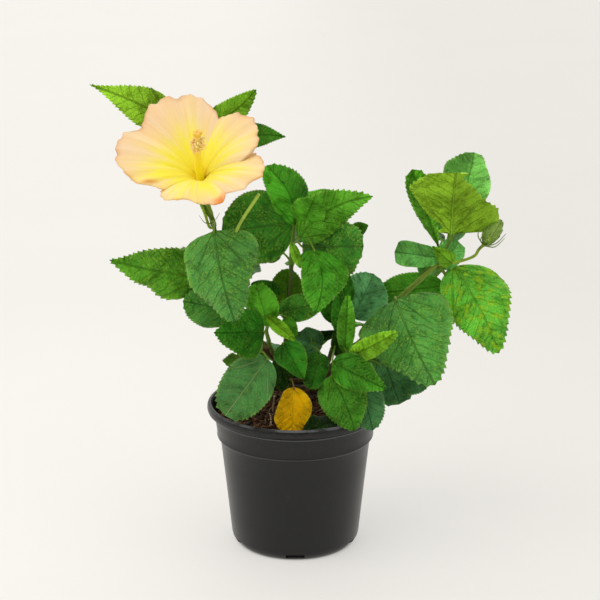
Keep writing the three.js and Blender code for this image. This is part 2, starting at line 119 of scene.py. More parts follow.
def close_outwards():
    """Turns all faces of the open mesh outwards and leaves edit mode."""
    bpy.ops.mesh.select_all(action="SELECT")
    bpy.ops.mesh.normals_make_consistent(inside=False)
    bpy.ops.object.mode_set(mode="OBJECT")


def modify(obj, kind, **settings):
    """Adds a modifier and applies it at once."""
    only(obj)
    made = obj.modifiers.new(kind.title(), kind)
    for key, value in settings.items():
        setattr(made, key, value)
    bpy.ops.object.modifier_apply(modifier=made.name)


def smooth(obj, degrees):
    """Smooths only where faces meet at less than this angle."""
    only(obj)
    bpy.ops.object.shade_smooth_by_angle(angle=math.radians(degrees))


def settle(obj, name, slot, *nodes):
    """Names a finished piece, puts its place into its mesh, and ties it to the frame."""
    only(obj)
    bpy.ops.object.transform_apply(location=True, rotation=True, scale=True)
    obj.name = name
    obj.data.name = name
    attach(obj, "root")
    if nodes:
        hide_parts(*nodes)
    print(name, "-", len(obj.data.polygons), "faces, stands for", len(nodes), "nodes")


def dress(obj, material):
    obj.data.materials.clear()
    obj.data.materials.append(material)


# %% [markdown]
# ## Helpers for shader nodes
# A material is a chain of small nodes in a node tree. put() adds one node to the tree in hand and
# feeds its sockets, each with a plain value or with another node's output. Such an output is a
# Wire here: adding, subtracting or multiplying wires places the Math node that does it, so a chain
# of nodes reads like a sum.

# %% Shader helpers
class Wire:
    """One output of a node."""

    def __init__(self, socket):
        self.socket = socket

    def __add__(self, other):
        return calc("ADD", self, other)

    def __sub__(self, other):
        return calc("SUBTRACT", self, other)

    def __mul__(self, other):
        return calc("MULTIPLY", self, other)


def take_up(new_tree):
    """Makes new_tree the tree in hand."""
    global tree
    tree = new_tree


def feed(node, feeds):
    for socket, value in feeds.items():
        if isinstance(value, Wire):
            tree.links.new(value.socket, node.inputs[socket])
        else:
            node.inputs[socket].default_value = value


def put(kind, feeds=None, **settings):
    node = tree.nodes.new("ShaderNode" + kind)
    for key, value in settings.items():
        setattr(node, key, value)
    feed(node, feeds or {})
    return node


def wire(node, socket=0):
    return Wire(node.outputs[socket])


def calc(operation, a, b=0.0):
    """One Math node: its answer."""
    return wire(put("Math", {0: a, 1: b}, operation=operation))


def fade(value, low, high, start=0.0, end=1.0):
    """Goes smoothly from start to end while value goes from low to high."""
    feeds = {0: value, 1: low, 2: high, 3: start, 4: end}
    return wire(put("MapRange", feeds, interpolation_type="SMOOTHSTEP"))


def blend(factor, a, b):
    """Colour b laid over colour a."""
    return wire(put("Mix", {0: factor, 6: a, 7: b}, data_type="RGBA"), 2)


def shift_colour(colour, brightness, saturation=1.0):
    return wire(put("HueSaturation", {"Color": colour, "Value": brightness, "Saturation": saturation}))


def split(value):
    """The three numbers of a place or a colour."""
    node = put("SeparateXYZ", {0: value})
    return [wire(node, k) for k in range(3)]


def clouds(where, scale, detail=3.0, roughness=0.55, stretch=None):
    """Noise from 0 to 1, on coordinates that may be stretched first."""
    if stretch:
        where = wire(put("Mapping", {0: where, 3: stretch}))
    return wire(put("TexNoise", {"Vector": where, "Scale": scale, "Detail": detail, "Roughness": roughness}))


def patches(where, scale, low, high, **noise):
    """Clouds hardened into patches: 0 where they are under low, 1 where they are over high."""
    return fade(clouds(where, scale, **noise), low, high)


def cells(where, scale, feature="F1"):
    """How far it is to the nearest of many scattered cells, or to the border between them."""
    return wire(put("TexVoronoi", {"Vector": where, "Scale": scale}, feature=feature), "Distance")


def painted(name, socket="Color"):
    """What the mesh carries at its points under this name."""
    return wire(put("Attribute", attribute_name=name), socket)


def finish(name):
    """Starts a material and takes up its tree: the material, its shader, and the place on the piece."""
    made = bpy.data.materials.new(name)
    made.use_nodes = True
    take_up(made.node_tree)
    return made, tree.nodes["Principled BSDF"], wire(put("TexCoord"), "Object")


def relief(shader, height, distance, strength=1.0):
    bump = put("Bump", {"Height": height, "Distance": distance, "Strength": strength})
    feed(shader, {"Normal": wire(bump)})


# %% [markdown]
# ## Floor and light
# The plant stands on one seamless pale floor, large enough that the camera, which looks down,
# never sees its far edge. Suns with a wide disc light it evenly, which lamps near the plant
# wouldn't: the one from the front left is the key and draws the shadow to the right, and two weak
# ones fill the right side and the back. The floor also glows a little, and this glow is painted
# light: more on the left than on the right and less far off. The glow stops under the pot, a
# painted shadow that keeps the drain windows dark.

# %% Floor and light
def sun(name, towards, strength, softness, colour=(1, 1, 1)):
    """A sun that shines from the direction towards. softness is the width of its disc in degrees."""
    bpy.ops.object.light_add(type="SUN", location=Vector(towards) * 3)
    made = bpy.context.object
    made.name = name
    made.data.energy = strength
    made.data.angle = math.radians(softness)
    made.data.color = colour
    made.rotation_euler = Vector(towards).to_track_quat("Z", "Y").to_euler()


FLOOR_SIZE, FLOOR_MIDDLE = 40, 6
bpy.ops.mesh.primitive_plane_add(size=FLOOR_SIZE, location=(0, FLOOR_MIDDLE, 0))
floor = bpy.context.object
floor.name = "floor"

floor_paint, shader, place = finish("pale_floor")
right, behind, _ = split(place)
behind = behind + FLOOR_MIDDLE
# painted light: the floor's glow is brighter on the left and weaker far off, and stops under the pot as a
# painted shadow
lit_from_left = fade(right, -0.35, 0.45, 0.50, 0.41)
far_off = fade(behind, 0.0, 1.0, 0.0, 0.065)
from_pot = calc("SQRT", behind * behind + right * right)
feed(shader, {
    "Base Color": blend(clouds(place, 3.0), (0.395, 0.385, 0.365, 1), (0.415, 0.405, 0.385, 1)),
    "Emission Strength": (lit_from_left - far_off) * fade(from_pot, 0.054, 0.0595),
    "Emission Color": (1.0, 0.98, 0.94, 1),
    "Roughness": 0.7,
    "Specular IOR Level": 0.2,
})
floor.data.materials.append(floor_paint)

sun("sun_left", (-0.72, -0.52, 0.90), 0.97, 62, (1.0, 0.985, 0.96))
sun("sun_right", (0.85, -0.55, 0.55), 0.48, 60)
sun("sun_back", (0.10, 0.85, 0.80), 0.55, 70)

# %% [markdown]
# The sky is brighter overhead, to the back and to the left. What the camera sees of it directly
# is one plain tone.

# %% Sky
world = bpy.data.worlds.new("studio")
bpy.context.scene.world = world
world.use_nodes = True
take_up(world.node_tree)
right, behind, up = split(wire(put("TexCoord"), "Generated"))
overhead = fade(up + behind * 0.30 + right * -0.15, -0.15, 0.85, 0.16, 0.86)
seen = wire(put("LightPath"), "Is Camera Ray")
feed(tree.nodes["Background"], {
    "Strength": calc("SUBTRACT", 1.0, seen) * overhead + seen * 0.93,
    "Color": (1.0, 0.985, 0.955, 1),
})
bpy.context.scene.view_settings.view_transform = "Standard"

# %% [markdown]
# ## The pot
# A thin nursery pot is one skin of black plastic: a flat sole, a rounded foot, a long taper, a
# step up to the upright collar, a fine bead, and a lip rolled outwards. On the inside the same
# skin comes down again to a floor. A spin would make it in one go, but a row of extruded rings is
# easier to steer, because each ring is one line of the profile: its radius and its height.

# %% A turned shape from rings
def turned(name, profile, sides):
    """Extrudes a circle from ring to ring. A profile row is (radius, height) in mm."""
    radius, height = profile[0]
    bpy.ops.object.select_all(action="DESELECT")
    bpy.ops.mesh.primitive_circle_add(
        vertices=sides, radius=radius * MM, location=(0, 0, height * MM), fill_type="NGON")
    made = bpy.context.object
    made.name = name
    bpy.ops.object.transform_apply(location=True)
    edit(made)
    for next_radius, next_height in profile[1:]:
        rise = (0, 0, (next_height - height) * MM)
        bpy.ops.mesh.extrude_region_move(TRANSFORM_OT_translate={"value": rise})
        share = next_radius / radius
        bpy.ops.transform.resize(value=(share, share, 1), center_override=(0, 0, 0))
        radius, height = next_radius, next_height
    close_outwards()
    return made


# %% [markdown]
# The frame's own pot gives the rim's radius and height. The rings between are plain millimetres
# that follow it, with the small roundings that a moulded edge has.

# %% The pot's skin
pot_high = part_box("pot")[1]
RIM_TOP, RIM_RADIUS = pot_high.z / MM, pot_high.y / MM
SOLE_RADIUS = 50
outside = [(SOLE_RADIUS, 0), (54.6, 0.2), (57.4, 1.1), (60, 3.2), (61.6, 6), (62.4, 9.4)]
taper = [(64.6, 31), (67.6, 60), (70.4, 86), (72.4, 104.2), (73.2, 106.6)]
collar = [(74.9, 108.1), (75.6, 108.7), (75.9, 109.6), (75.6, 110.6), (76.1, 116), (77.4, 124.8)]
bead = [(77.8, 128), (78.2, 129.2), (79.2, 129.7), (79.9, 130.5), (79.8, 131.4), (79.3, 132.2)]
lip = [(80.4, 132.9), (82.9, 133.1), (84.3, 133.9), (RIM_RADIUS, 136), (RIM_RADIUS - 0.05, 138.6),
       (84.2, 140.7), (82.6, RIM_TOP - 0.1), (81.4, RIM_TOP - 0.3)]
inside = [(80.2, 140.3), (79.4, 138.2), (77.6, 130), (75.5, 116), (72.1, 106), (71.3, 102), (66, 60),
          (60.6, 9.5), (57, 4.6), (51, 3.2), (3, 3)]
pot = turned("pot_skin", outside + taper + collar + bead + lip + inside, 128)
print("pot rim", RIM_RADIUS, "mm at", RIM_TOP, "mm")

# %% [markdown]
# Six small windows at the foot let the water out. Each one is a block pushed through the wall with
# a Boolean, and one of them faces the front. The edges of the sole and the windows then stay
# crisp, because smoothing only joins faces that meet at a low angle.

# %% Drain windows
DRAINS, DRAIN_WIDE, DRAIN_HIGH, DRAIN_DEEP = 6, 18, 7, 12
DRAIN_REACH, UNDER_SOLE = SOLE_RADIUS + 8, 1
cutters = []
for k in range(DRAINS):
    turn = math.tau * k / DRAINS - math.pi / 2
    at = Vector((DRAIN_REACH * math.cos(turn), DRAIN_REACH * math.sin(turn), (DRAIN_HIGH - UNDER_SOLE) / 2))
    size = Vector((DRAIN_DEEP, DRAIN_WIDE, DRAIN_HIGH + UNDER_SOLE))
    bpy.ops.object.select_all(action="DESELECT")
    bpy.ops.mesh.primitive_cube_add(size=1, location=at * MM, rotation=(0, 0, turn), scale=size * MM)
    cutters.append(bpy.context.object)
for obj in cutters:
    obj.select_set(True)
bpy.context.view_layer.objects.active = cutters[0]
bpy.ops.object.join()
drains = bpy.context.object
modify(pot, "BOOLEAN", operation="DIFFERENCE", object=drains, solver="EXACT")
bpy.data.objects.remove(drains)
smooth(pot, 28)
settle(pot, "nursery_pot", "pot", "pot")

# %% [markdown]
# Black polypropylene is not quite black. It has a satin skin that draws broad pale bands from the
# lamps, faint vertical drag lines from the mould, dust towards the lip and a few scuffs. On the
# bead, under the collar and on the lip, a thin paler line is painted: partly wear where hands and
# other pots rub it, partly painted highlight along these ridges. All of these are soft masks over
# one dark base colour and one roughness.

# %% Pot plastic
plastic, shader, place = finish("black_plastic")
height = split(place)[2]
drag = clouds(place, 90, detail=2, stretch=(1, 1, 0.06))
mottle = clouds(place, 38, detail=4)
scuffs = patches(place, 150, 0.62, 0.74, detail=5, roughness=0.7, stretch=(1, 1, 0.35))
dust = fade(height, 0.100, 0.142) * patches(place, 260, 0.45, 0.72, detail=4)
# a painted highlight along the bead, the collar and the lip, partly wear
bead_line = fade(height, 0.1292, 0.1299) * fade(height, 0.1306, 0.1313, 1.0, 0.0)
collar_line = fade(height, 0.1078, 0.1084) * fade(height, 0.1090, 0.1098, 1.0, 0.0)
lip_line = fade(height, 0.1400, 0.1406) * patches(place, 60, 0.35, 0.6)
wear_and_highlight = calc("MAXIMUM", calc("MAXIMUM", bead_line, collar_line * 0.5), lip_line)
base = blend(mottle, (0.0040, 0.0040, 0.0041, 1), (0.0075, 0.0075, 0.0075, 1))
base = blend(scuffs * 0.30, base, (0.050, 0.050, 0.048, 1))
base = blend(dust * 0.08, base, (0.12, 0.105, 0.085, 1))
base = blend(wear_and_highlight * 0.55, base, (0.16, 0.165, 0.175, 1))
satin = mottle * 0.08 + 0.28 + scuffs * 0.16 + dust * 0.1
feed(shader, {"Base Color": base, "Roughness": satin, "Specular IOR Level": 0.36})
relief(shader, drag + mottle * 0.4, 0.0004, 0.25)
dress(pot, plastic)
print("pot finished")

# %% [markdown]
# ## The potting mix
# The surface is peat and composted bark, lower than the rim and a little crowned. A disc of fine
# faces is pushed up and down by two layers of waves for the lumps, and closed below with a skirt
# so that it is a solid. The chips, the pale rootlets and the grains of perlite lie on it as small
# meshes of their own, joined, because a bump alone would look like a carpet.

# %% Soil surface
soil_low, soil_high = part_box("soil")
SOIL_RADIUS = soil_high.y / MM - 0.3
SOIL_FLOOR = soil_low.z / MM + 0.5
SOIL_EDGE, SOIL_CROWN = 129.4, 2.2
SKIRT = ((0.915, 104), (0.78, SOIL_FLOOR))


def wave(x, y, seed, size):
    """A cheap smooth noise: a few sines that cross at odd angles. x, y and size in mm."""
    total = 0.0
    for k in range(5):
        turn = 1.3 * k + 0.7 * seed
        across = x * math.cos(turn) + y * math.sin(turn)
        total += math.sin(across * ROUND / (size * (1 + 0.37 * k)) + 2.1 * k + seed)
    return total / 5


def soil_height(x, y):
    """Height of the soil in mm, over a place in mm."""
    away = math.hypot(x, y)
    rise = SOIL_CROWN * max(0, 1 - (away / SOIL_RADIUS) ** 2)
    edge = min(1.0, (SOIL_RADIUS - away) / 6)
    return SOIL_EDGE + rise + edge * (1.1 * wave(x, y, 1, 21) + 0.5 * wave(x, y, 5, 8))


bpy.ops.object.select_all(action="DESELECT")
bpy.ops.mesh.primitive_circle_add(vertices=96, radius=SOIL_RADIUS * MM, fill_type="TRIFAN")
soil = bpy.context.object
edit(soil)
bpy.ops.mesh.subdivide(number_cuts=26)
bpy.ops.object.mode_set(mode="OBJECT")
for v in soil.data.vertices:
    v.co.z = soil_height(v.co.x / MM, v.co.y / MM) * MM
edit(soil)
bpy.ops.mesh.remove_doubles(threshold=0.00001)
bpy.ops.mesh.region_to_loop()
height = SOIL_EDGE
for share, next_height in SKIRT:
    drop = (0, 0, (next_height - height) * MM)
    bpy.ops.mesh.extrude_region_move(TRANSFORM_OT_translate={"value": drop})
    bpy.ops.transform.resize(value=(share, share, 0), center_override=(0, 0, next_height * MM))
    height = next_height
bpy.ops.mesh.edge_face_add()
close_outwards()
smooth(soil, 60)
settle(soil, "potting_mix", "soil", "soil")

# %% [markdown]
# The mix is dark brown, nearly black where the lumps are low, with reddish bark between. Colour
# and relief follow the same clouds and crumbs, so the lumps look like lumps.

# %% Soil material
peat, shader, place = finish("peat_mix")
lumps = clouds(place, 210, detail=6, roughness=0.65)
crumbs = cells(place, 420)
tone = blend(fade(lumps, 0.38, 0.62), (0.012, 0.006, 0.003, 1), (0.070, 0.032, 0.015, 1))
tone = blend(fade(crumbs, 0.55, 0.85), tone, (0.20, 0.09, 0.04, 1))
feed(shader, {"Base Color": tone, "Roughness": 0.92, "Specular IOR Level": 0.1})
relief(shader, lumps - crumbs * 0.4, 0.002, 0.9)
dress(soil, peat)

# %% [markdown]
# ## Building meshes from rows
# Leaves, stems and chips are far too many to model one by one. Each kind is one small recipe that
# gives points, faces and a colour for each point, and a Pile collects what a piece is made of.
# Two point colours travel with every mesh: "tint" is the base colour of each leaf, stem or
# chip, with the painted light and shade of leaves and petals in it, and "trait" holds four amounts
# that the leaf materials read, such as how pale the ribs are.

# %% A pile of meshes
NO_TRAIT = (0, 0, 0, 0)


class Pile:
    """Collects points, faces, colours and UV places, and ends as one mesh object."""

    def __init__(self):
        self.points, self.faces, self.tints, self.traits = [], [], [], []
        self.marks, self.flats, self.patches, self.count = [], [], [], 0

    def add(self, points, faces, tint, trait=NO_TRAIT, mark=0, flat=None, patch=None):
        """mark picks the material, flat is the place on the blade, patch the place in the bake's cell."""
        points = np.asarray(points, float)
        n = len(points)
        self.points.append(points)
        self.faces.append(np.asarray(faces, int) + self.count)
        self.tints.append(np.column_stack([np.broadcast_to(tint, (n, 3)), np.ones(n)]))
        self.traits.append(np.broadcast_to(trait, (n, 4)))
        self.marks.append(np.full(len(faces), mark))
        self.flats.append(np.zeros((n, 2)) if flat is None else np.asarray(flat, float))
        if patch is None:
            low, high = points.min(0), points.max(0)
            seen = (points - low) / np.maximum(high - low, 1e-6)
            patch = (seen[:, :2] + 0.3 * seen[:, 2:]) / 1.3
        self.patches.append(np.asarray(patch, float))
        self.count += n

    def add_sheet(self, top, thick, tint, trait, flat, patch, mirrored=False):
        """Closes a grid of points into a thin blade. Each side gets its own half of the cell."""
        n = top.shape[0] * top.shape[1]
        index = np.arange(n).reshape(top.shape[:2])
        steps = [np.gradient(top, axis=0), np.gradient(top, axis=1)]
        if mirrored:
            index, steps = index.T, steps[::-1]
        normal = np.cross(*steps)
        normal /= np.maximum(np.linalg.norm(normal, axis=2, keepdims=True), 1e-9)
        points = np.concatenate([top.reshape(-1, 3), (top - normal * thick).reshape(-1, 3)])
        corners = index[:-1, :-1], index[1:, :-1], index[1:, 1:], index[:-1, 1:]
        a, b, c, d = (corner.ravel() for corner in corners)
        upper = np.hstack([(a, b, c), (a, c, d)]).T
        rim = np.concatenate([index[:, 0], index[-1, 1:], index[::-1, -1][1:], index[0, ::-1][1:-1]])
        after = np.roll(rim, -1)
        edge = np.hstack([(rim, rim + n, after + n), (rim, after + n, after)]).T
        mark = np.repeat((0, 1, 0), (len(upper), len(upper), len(edge)))
        patch = patch * (0.49, 1)
        tint = np.clip(np.vstack([tint.reshape(-1, 3)] * 2), 0, 1)
        self.add(points, np.concatenate([upper, upper[:, ::-1] + n, edge]), tint, trait, mark,
                 np.vstack([flat, flat]), np.vstack([patch, patch + (0.51, 0)]))

    def build(self, name, materials):
        """One mesh. Every recipe's share gets its own cell in the bake's square."""
        faces = np.concatenate(self.faces)
        mesh = bpy.data.meshes.new(name)
        mesh.from_pydata((np.concatenate(self.points) * MM).tolist(), [], faces.tolist())
        for title, values in (("tint", self.tints), ("trait", self.traits)):
            layer = mesh.attributes.new(title, "FLOAT_COLOR", "POINT")
            layer.data.foreach_set("color", np.concatenate(values).astype(np.float32).ravel())
        mesh.polygons.foreach_set("material_index", np.concatenate(self.marks).astype(np.int32))
        mesh.polygons.foreach_set("use_smooth", np.ones(len(faces), bool))
        across = math.ceil(math.sqrt(len(self.patches)))
        in_cells = [(0.04 + 0.92 * patch + (k % across, k // across)) / across
                    for k, patch in enumerate(self.patches)]
        for title, values in (("blade", self.flats), ("OFBake", in_cells)):
            layer = mesh.uv_layers.new(name=title)
            corners = np.concatenate(values)[faces.ravel()]
            layer.data.foreach_set("uv", corners.astype(np.float32).ravel())
        mesh.update()
        made = bpy.data.objects.new(name, mesh)
        bpy.context.scene.collection.objects.link(made)
        for paint in materials:
            mesh.materials.append(paint)
        return made


def unit(v):
    v = np.asarray(v, float)
    return v / max(1e-9, float(np.linalg.norm(v)))


def curve(points, count):
    """A smooth curve (Catmull-Rom) through points, sampled count times."""
    p = np.asarray(points, float)
    p = np.vstack([2 * p[0] - p[1], p, 2 * p[-1] - p[-2]])
    spans = len(p) - 3
    made = []
    for s in np.linspace(0, spans, count):
        k = min(int(s), spans - 1)
        t = s - k
        a, b, c, d = p[k:k + 4]
        made.append(0.5 * (2 * b + (c - a) * t + (2 * a - 5 * b + 4 * c - d) * t * t
                           + (3 * b - a - 3 * c + d) * t ** 3))
    return np.array(made)


def tube(pile, route, radii, sides, tint, trait=NO_TRAIT, mark=0, lumps=0.0):
    """Adds a closed tube along route. radii and tint may change from point to point."""
    route = np.asarray(route, float)
    n = len(route)
    radii = np.broadcast_to(radii, n)
    steps = np.gradient(route, axis=0)
    side = unit(np.cross(steps[0], (0.31, 0.87, 0.4)))
    turns = np.arange(sides) * math.tau / sides
    rings = []
    for k, point in enumerate(route):
        along = unit(steps[k])
        side = unit(side - along * np.dot(side, along))
        over = np.cross(along, side)
        swell = radii[k] * (1 + lumps * np.sin(3 * turns + 1.7 * k) * math.sin(2.3 * k + 1))
        rings.append(point + np.outer(np.cos(turns) * swell, side) + np.outer(np.sin(turns) * swell, over))
    points = np.concatenate([*rings, route[:1], route[-1:]])
    faces = []
    for s in range(sides):
        after = (s + 1) % sides
        for k in range(0, (n - 1) * sides, sides):
            a, b = k + s, k + after
            faces += [(a, b, b + sides), (a, b + sides, a + sides)]
        faces.append((n * sides, after, s))
        faces.append((n * sides + 1, (n - 1) * sides + s, (n - 1) * sides + after))
    half_turn = np.abs(np.arange(sides) / sides - 0.5) * 2
    patch = np.column_stack([np.tile(half_turn, n), np.repeat(np.linspace(0, 1, n), sides)])
    patch = np.vstack([patch, [[0.5, 0], [0.5, 1]]])
    flat = np.column_stack([np.full(len(points), 0.5), patch[:, 1]])
    tint = np.asarray(tint, float)
    if tint.ndim == 2:
        tint = np.vstack([np.repeat(tint, sides, 0), tint[:1], tint[-1:]])
    pile.add(points, faces, tint, trait, mark, flat, patch)


def grow(pile, points, count, sizes, sides, tint, lumps=0.0):
    """A tube along a smooth curve. sizes is a table: share of the way, radius in mm."""
    radii = np.interp(np.linspace(0, 1, count), *zip(*sizes))
    tube(pile, curve(points, count), radii, sides, tint, lumps=lumps)


# %% [markdown]
# Bark chips are squashed blocks and crumbs and perlite are squashed eight-sided lumps, all at
# random turns. The soil's own height says how high each one lies. Rootlets are thin tubes that
# creep over the surface.

# %% Chips, perlite and rootlets
OCTA = np.array([(1, 0, 0), (-1, 0, 0), (0, 1, 0), (0, -1, 0), (0, 0, 1), (0, 0, -1)], float)
OCTA_FACES = [(0, 2, 4), (2, 1, 4), (1, 3, 4), (3, 0, 4), (2, 0, 5), (1, 2, 5), (3, 1, 5), (0, 3, 5)]
CUBE = np.array([(x, y, z) for x in (-1, 1) for y in (-1, 1) for z in (-1, 1)], float)
CUBE_FACES = [(0, 1, 3), (0, 3, 2), (4, 6, 7), (4, 7, 5), (0, 4, 5), (0, 5, 1),
              (2, 3, 7), (2, 7, 6), (0, 2, 6), (0, 6, 4), (1, 5, 7), (1, 7, 3)]


def turned_about(points, spin, tilt, roll):
    """Points turned about X by roll, about Y by tilt, and about Z by spin, in radians."""
    points = points.copy()
    for angle, (i, j) in ((roll, (1, 2)), (tilt, (2, 0)), (spin, (0, 1))):
        c, s = math.cos(angle), math.sin(angle)
        points[:, i], points[:, j] = points[:, i] * c - points[:, j] * s, points[:, i] * s + points[:, j] * c
    return points


def scatter(pile, count, long, wide, high, tints, shape, shape_faces, sink=0.2):
    """Strews count lumps over the soil. long is the smallest and the largest length in mm."""
    for _ in range(count):
        away = (SOIL_RADIUS - 3.5) * math.sqrt(rng.uniform(0, 1))
        turn = rng.uniform(0, math.tau)
        x, y = away * math.cos(turn), away * math.sin(turn)
        size = rng.uniform(*long)
        lump = shape * rng.uniform(0.75, 1.2, shape.shape) * size / 2 * (1, wide, high)
        lump = turned_about(lump, rng.uniform(0, ROUND), rng.uniform(-0.5, 0.5), rng.uniform(-0.5, 0.5))
        z = soil_height(x, y) + size * high * (0.5 - sink)
        pile.add(lump + (x, y, z), shape_faces, tints[rng.integers(len(tints))])


BARK_TINTS = [(0.12, 0.048, 0.022), (0.06, 0.026, 0.014), (0.22, 0.095, 0.045), (0.03, 0.016, 0.010)]
CRUMB_TINTS = [(0.02, 0.012, 0.008), (0.045, 0.024, 0.014), (0.075, 0.036, 0.018)]
PERLITE_TINTS = [(0.62, 0.60, 0.55), (0.5, 0.47, 0.42)]
chips = Pile()
scatter(chips, 420, (3.5, 9), 0.45, 0.26, BARK_TINTS, CUBE, CUBE_FACES)
scatter(chips, 1500, (1.4, 3.6), 0.75, 0.6, CRUMB_TINTS, OCTA, OCTA_FACES)
scatter(chips, 34, (1.2, 2.6), 0.9, 0.8, PERLITE_TINTS, OCTA, OCTA_FACES, -0.1)

ROOT_TINTS = [(0.30, 0.19, 0.10), (0.20, 0.11, 0.06), (0.42, 0.30, 0.18)]
ROOTLETS, ROOT_STEP = 150, 2.6
for _ in range(ROOTLETS):
    x, y = rng.uniform(-0.72, 0.72, 2) * SOIL_RADIUS
    heading, route = rng.uniform(0, ROUND), []
    for _ in range(6):
        if math.hypot(x, y) < SOIL_RADIUS - 4:
            route.append((x, y, soil_height(x, y) + rng.uniform(0.4, 1.9)))
        heading += rng.normal(0, 0.5)
        x, y = x + ROOT_STEP * math.cos(heading), y + ROOT_STEP * math.sin(heading)
    if len(route) > 2:
        tube(chips, route, rng.uniform(0.2, 0.42), 4, ROOT_TINTS[rng.integers(3)])

# one upright stub with a pale knob, and one forked root, both just left of the yellow leaf
PALE_ROOT, KNOB_TINT = (0.50, 0.36, 0.22), (0.75, 0.66, 0.55)
grow(chips, [(-21.8, -5, 130), (-21, -5.5, 139), (-20, -6, 147)], 8, [(0, 1.0), (1, 0.7)], 7, PALE_ROOT)
chips.add(turned_about(OCTA * 1.3, 0.4, 0.3, 0.1) + (-19.9, -6, 148), OCTA_FACES, KNOB_TINT)
FORK = [(-24.7, -12, 132.6), (-23.4, -24, 133.2), (-22.9, -34, 133)]
grow(chips, FORK, 10, [(0, 0.6), (1, 1.1)], 6, PALE_ROOT)
for end in ((-24.6, -47, 131.6), (-20.6, -46, 131.6)):
    grow(chips, [(-22.9, -33, 133), (-23, -39, 132.6), end], 7, [(0, 1.0), (1, 0.4)], 6, PALE_ROOT)

litter, shader, place = finish("bark_and_roots")
grime = patches(place, 500, 0.35, 0.7, detail=4)
tone = blend(grime * 0.6, painted("tint"), (0.02, 0.012, 0.008, 1))
feed(shader, {"Base Color": tone, "Roughness": 0.85, "Specular IOR Level": 0.15})
settle(chips.build("bark_litter", [litter]), "bark_litter", "soil")

# %% [markdown]
# ## Trunk and boughs
# The trunk of a young hibiscus is brown, ridged and no thicker than a finger. The boughs leave it
# brown and turn green along their length. Each limb is a tube along a smooth route, thicker at its
# foot, with a swelling where a leaf once grew. A Subdivision and two Displace modifiers then raise
# the bark's relief in the mesh itself, and "tint" carries the change from brown to green.

# %% Bark and green stem material
def stem_paint(name, roughness, streak):
    made, shader, place = finish(name)
    fibre = clouds(place, 320, detail=5, roughness=0.7, stretch=(1, 1, 0.22))
    speck = patches(place, 900, 0.62, 0.75, detail=2)
    tone = blend(fade(fibre, 0.35, 0.65) * streak, painted("tint"), (0.035, 0.018, 0.009, 1))
    tone = blend(speck * 0.35, tone, (0.42, 0.36, 0.22, 1))
    feed(shader, {"Base Color": tone, "Roughness": roughness, "Specular IOR Level": 0.25})
    relief(shader, fibre, 0.0005, 0.6)
    return made


bark_paint = stem_paint("bark", 0.75, 0.7)
green_paint = stem_paint("green_bark", 0.5, 0.18)

# %% Limbs
BROWN, RUSTY = (0.11, 0.055, 0.026), (0.15, 0.07, 0.03)
OLIVE, DARK_STEM = (0.11, 0.13, 0.025), (0.07, 0.11, 0.012)
STEM_GREEN, LIGHT_STEM = (0.13, 0.25, 0.015), (0.23, 0.33, 0.035)
# a brighter stem green, painted light for the stalks that lie in the bloom's shadow
BLOOM_STALK_LIT = (0.32, 0.47, 0.05)
SOIL_AT_TRUNK = soil_high.z / MM

SLOT = {row["node"]: row["material_slot"] for row in frame["record"]["subparts"]}
# node: route in mm, diameter at foot and tip, colour at foot and tip
LIMBS = {
    "trunk": ([(-5.4, 4.2, 124), (-6, 4, SOIL_AT_TRUNK), (-6.6, 3.8, 137), (-9, 2.5, 147), (-11.5, 1, 164),
               (-14.5, -1.5, 184)], 15, 8.6, BROWN, RUSTY),
    "bough_left": ([(-12, -1, 178), (-25, -7, 193), (-37, -12, 197), (-49, -15, 207)],
                   8.2, 6, BROWN, RUSTY),
    "bough_centre": ([(-12, 1, 172), (-9, 4, 202), (-6, 5, 239), (-3, 4, 276)], 5.6, 3.2, OLIVE, DARK_STEM),
    "bough_young": ([(-12, -3, 177), (-21, -13, 194), (-25, -18, 206)], 5, 3.4, RUSTY, STEM_GREEN),
    "bough_mid": ([(-11, 2, 161), (9, 2, 162), (28, -2, 174), (35, -4, 195)], 5.5, 4, BROWN, OLIVE),
    "bough_right_low": ([(-11, 1, 153), (20, 8, 154), (56, 8, 190), (81, 2, 224)], 7.5, 6, BROWN, OLIVE),
    "bough_right": ([(80, 2, 223), (98, -4, 245), (116, -6, 263), (134, -6, 280)],
                    6, 4.4, STEM_GREEN, LIGHT_STEM),
    "bough_low_right": ([(-8, 0, 143), (20, -14, 161), (46, -19, 180), (57, -17, 185)],
                        4.6, 3.4, RUSTY, OLIVE),
    "bough_back_left": ([(-12, 0, 168), (-23, 18, 183), (-39, 32, 198)], 6, 4.6, BROWN, OLIVE),
    "bough_back_centre": ([(-10, 2, 158), (-7, 20, 193), (-4, 28, 255)], 5.6, 4.2, BROWN, OLIVE),
    "bough_back_right": ([(-8, 3, 145), (20, 30, 152), (52, 42, 180)], 6.4, 4.8, BROWN, OLIVE),
    "stem_bloom": ([(-76, -5, 317), (-79, 0, 326), (-82, 5, 336)], 5.4, 4.8, BLOOM_STALK_LIT, BLOOM_STALK_LIT),
}


def clouds_texture(name, size):
    made = bpy.data.textures.new(name, "CLOUDS")
    made.noise_scale = size * MM
    made.noise_depth = 3
    return made


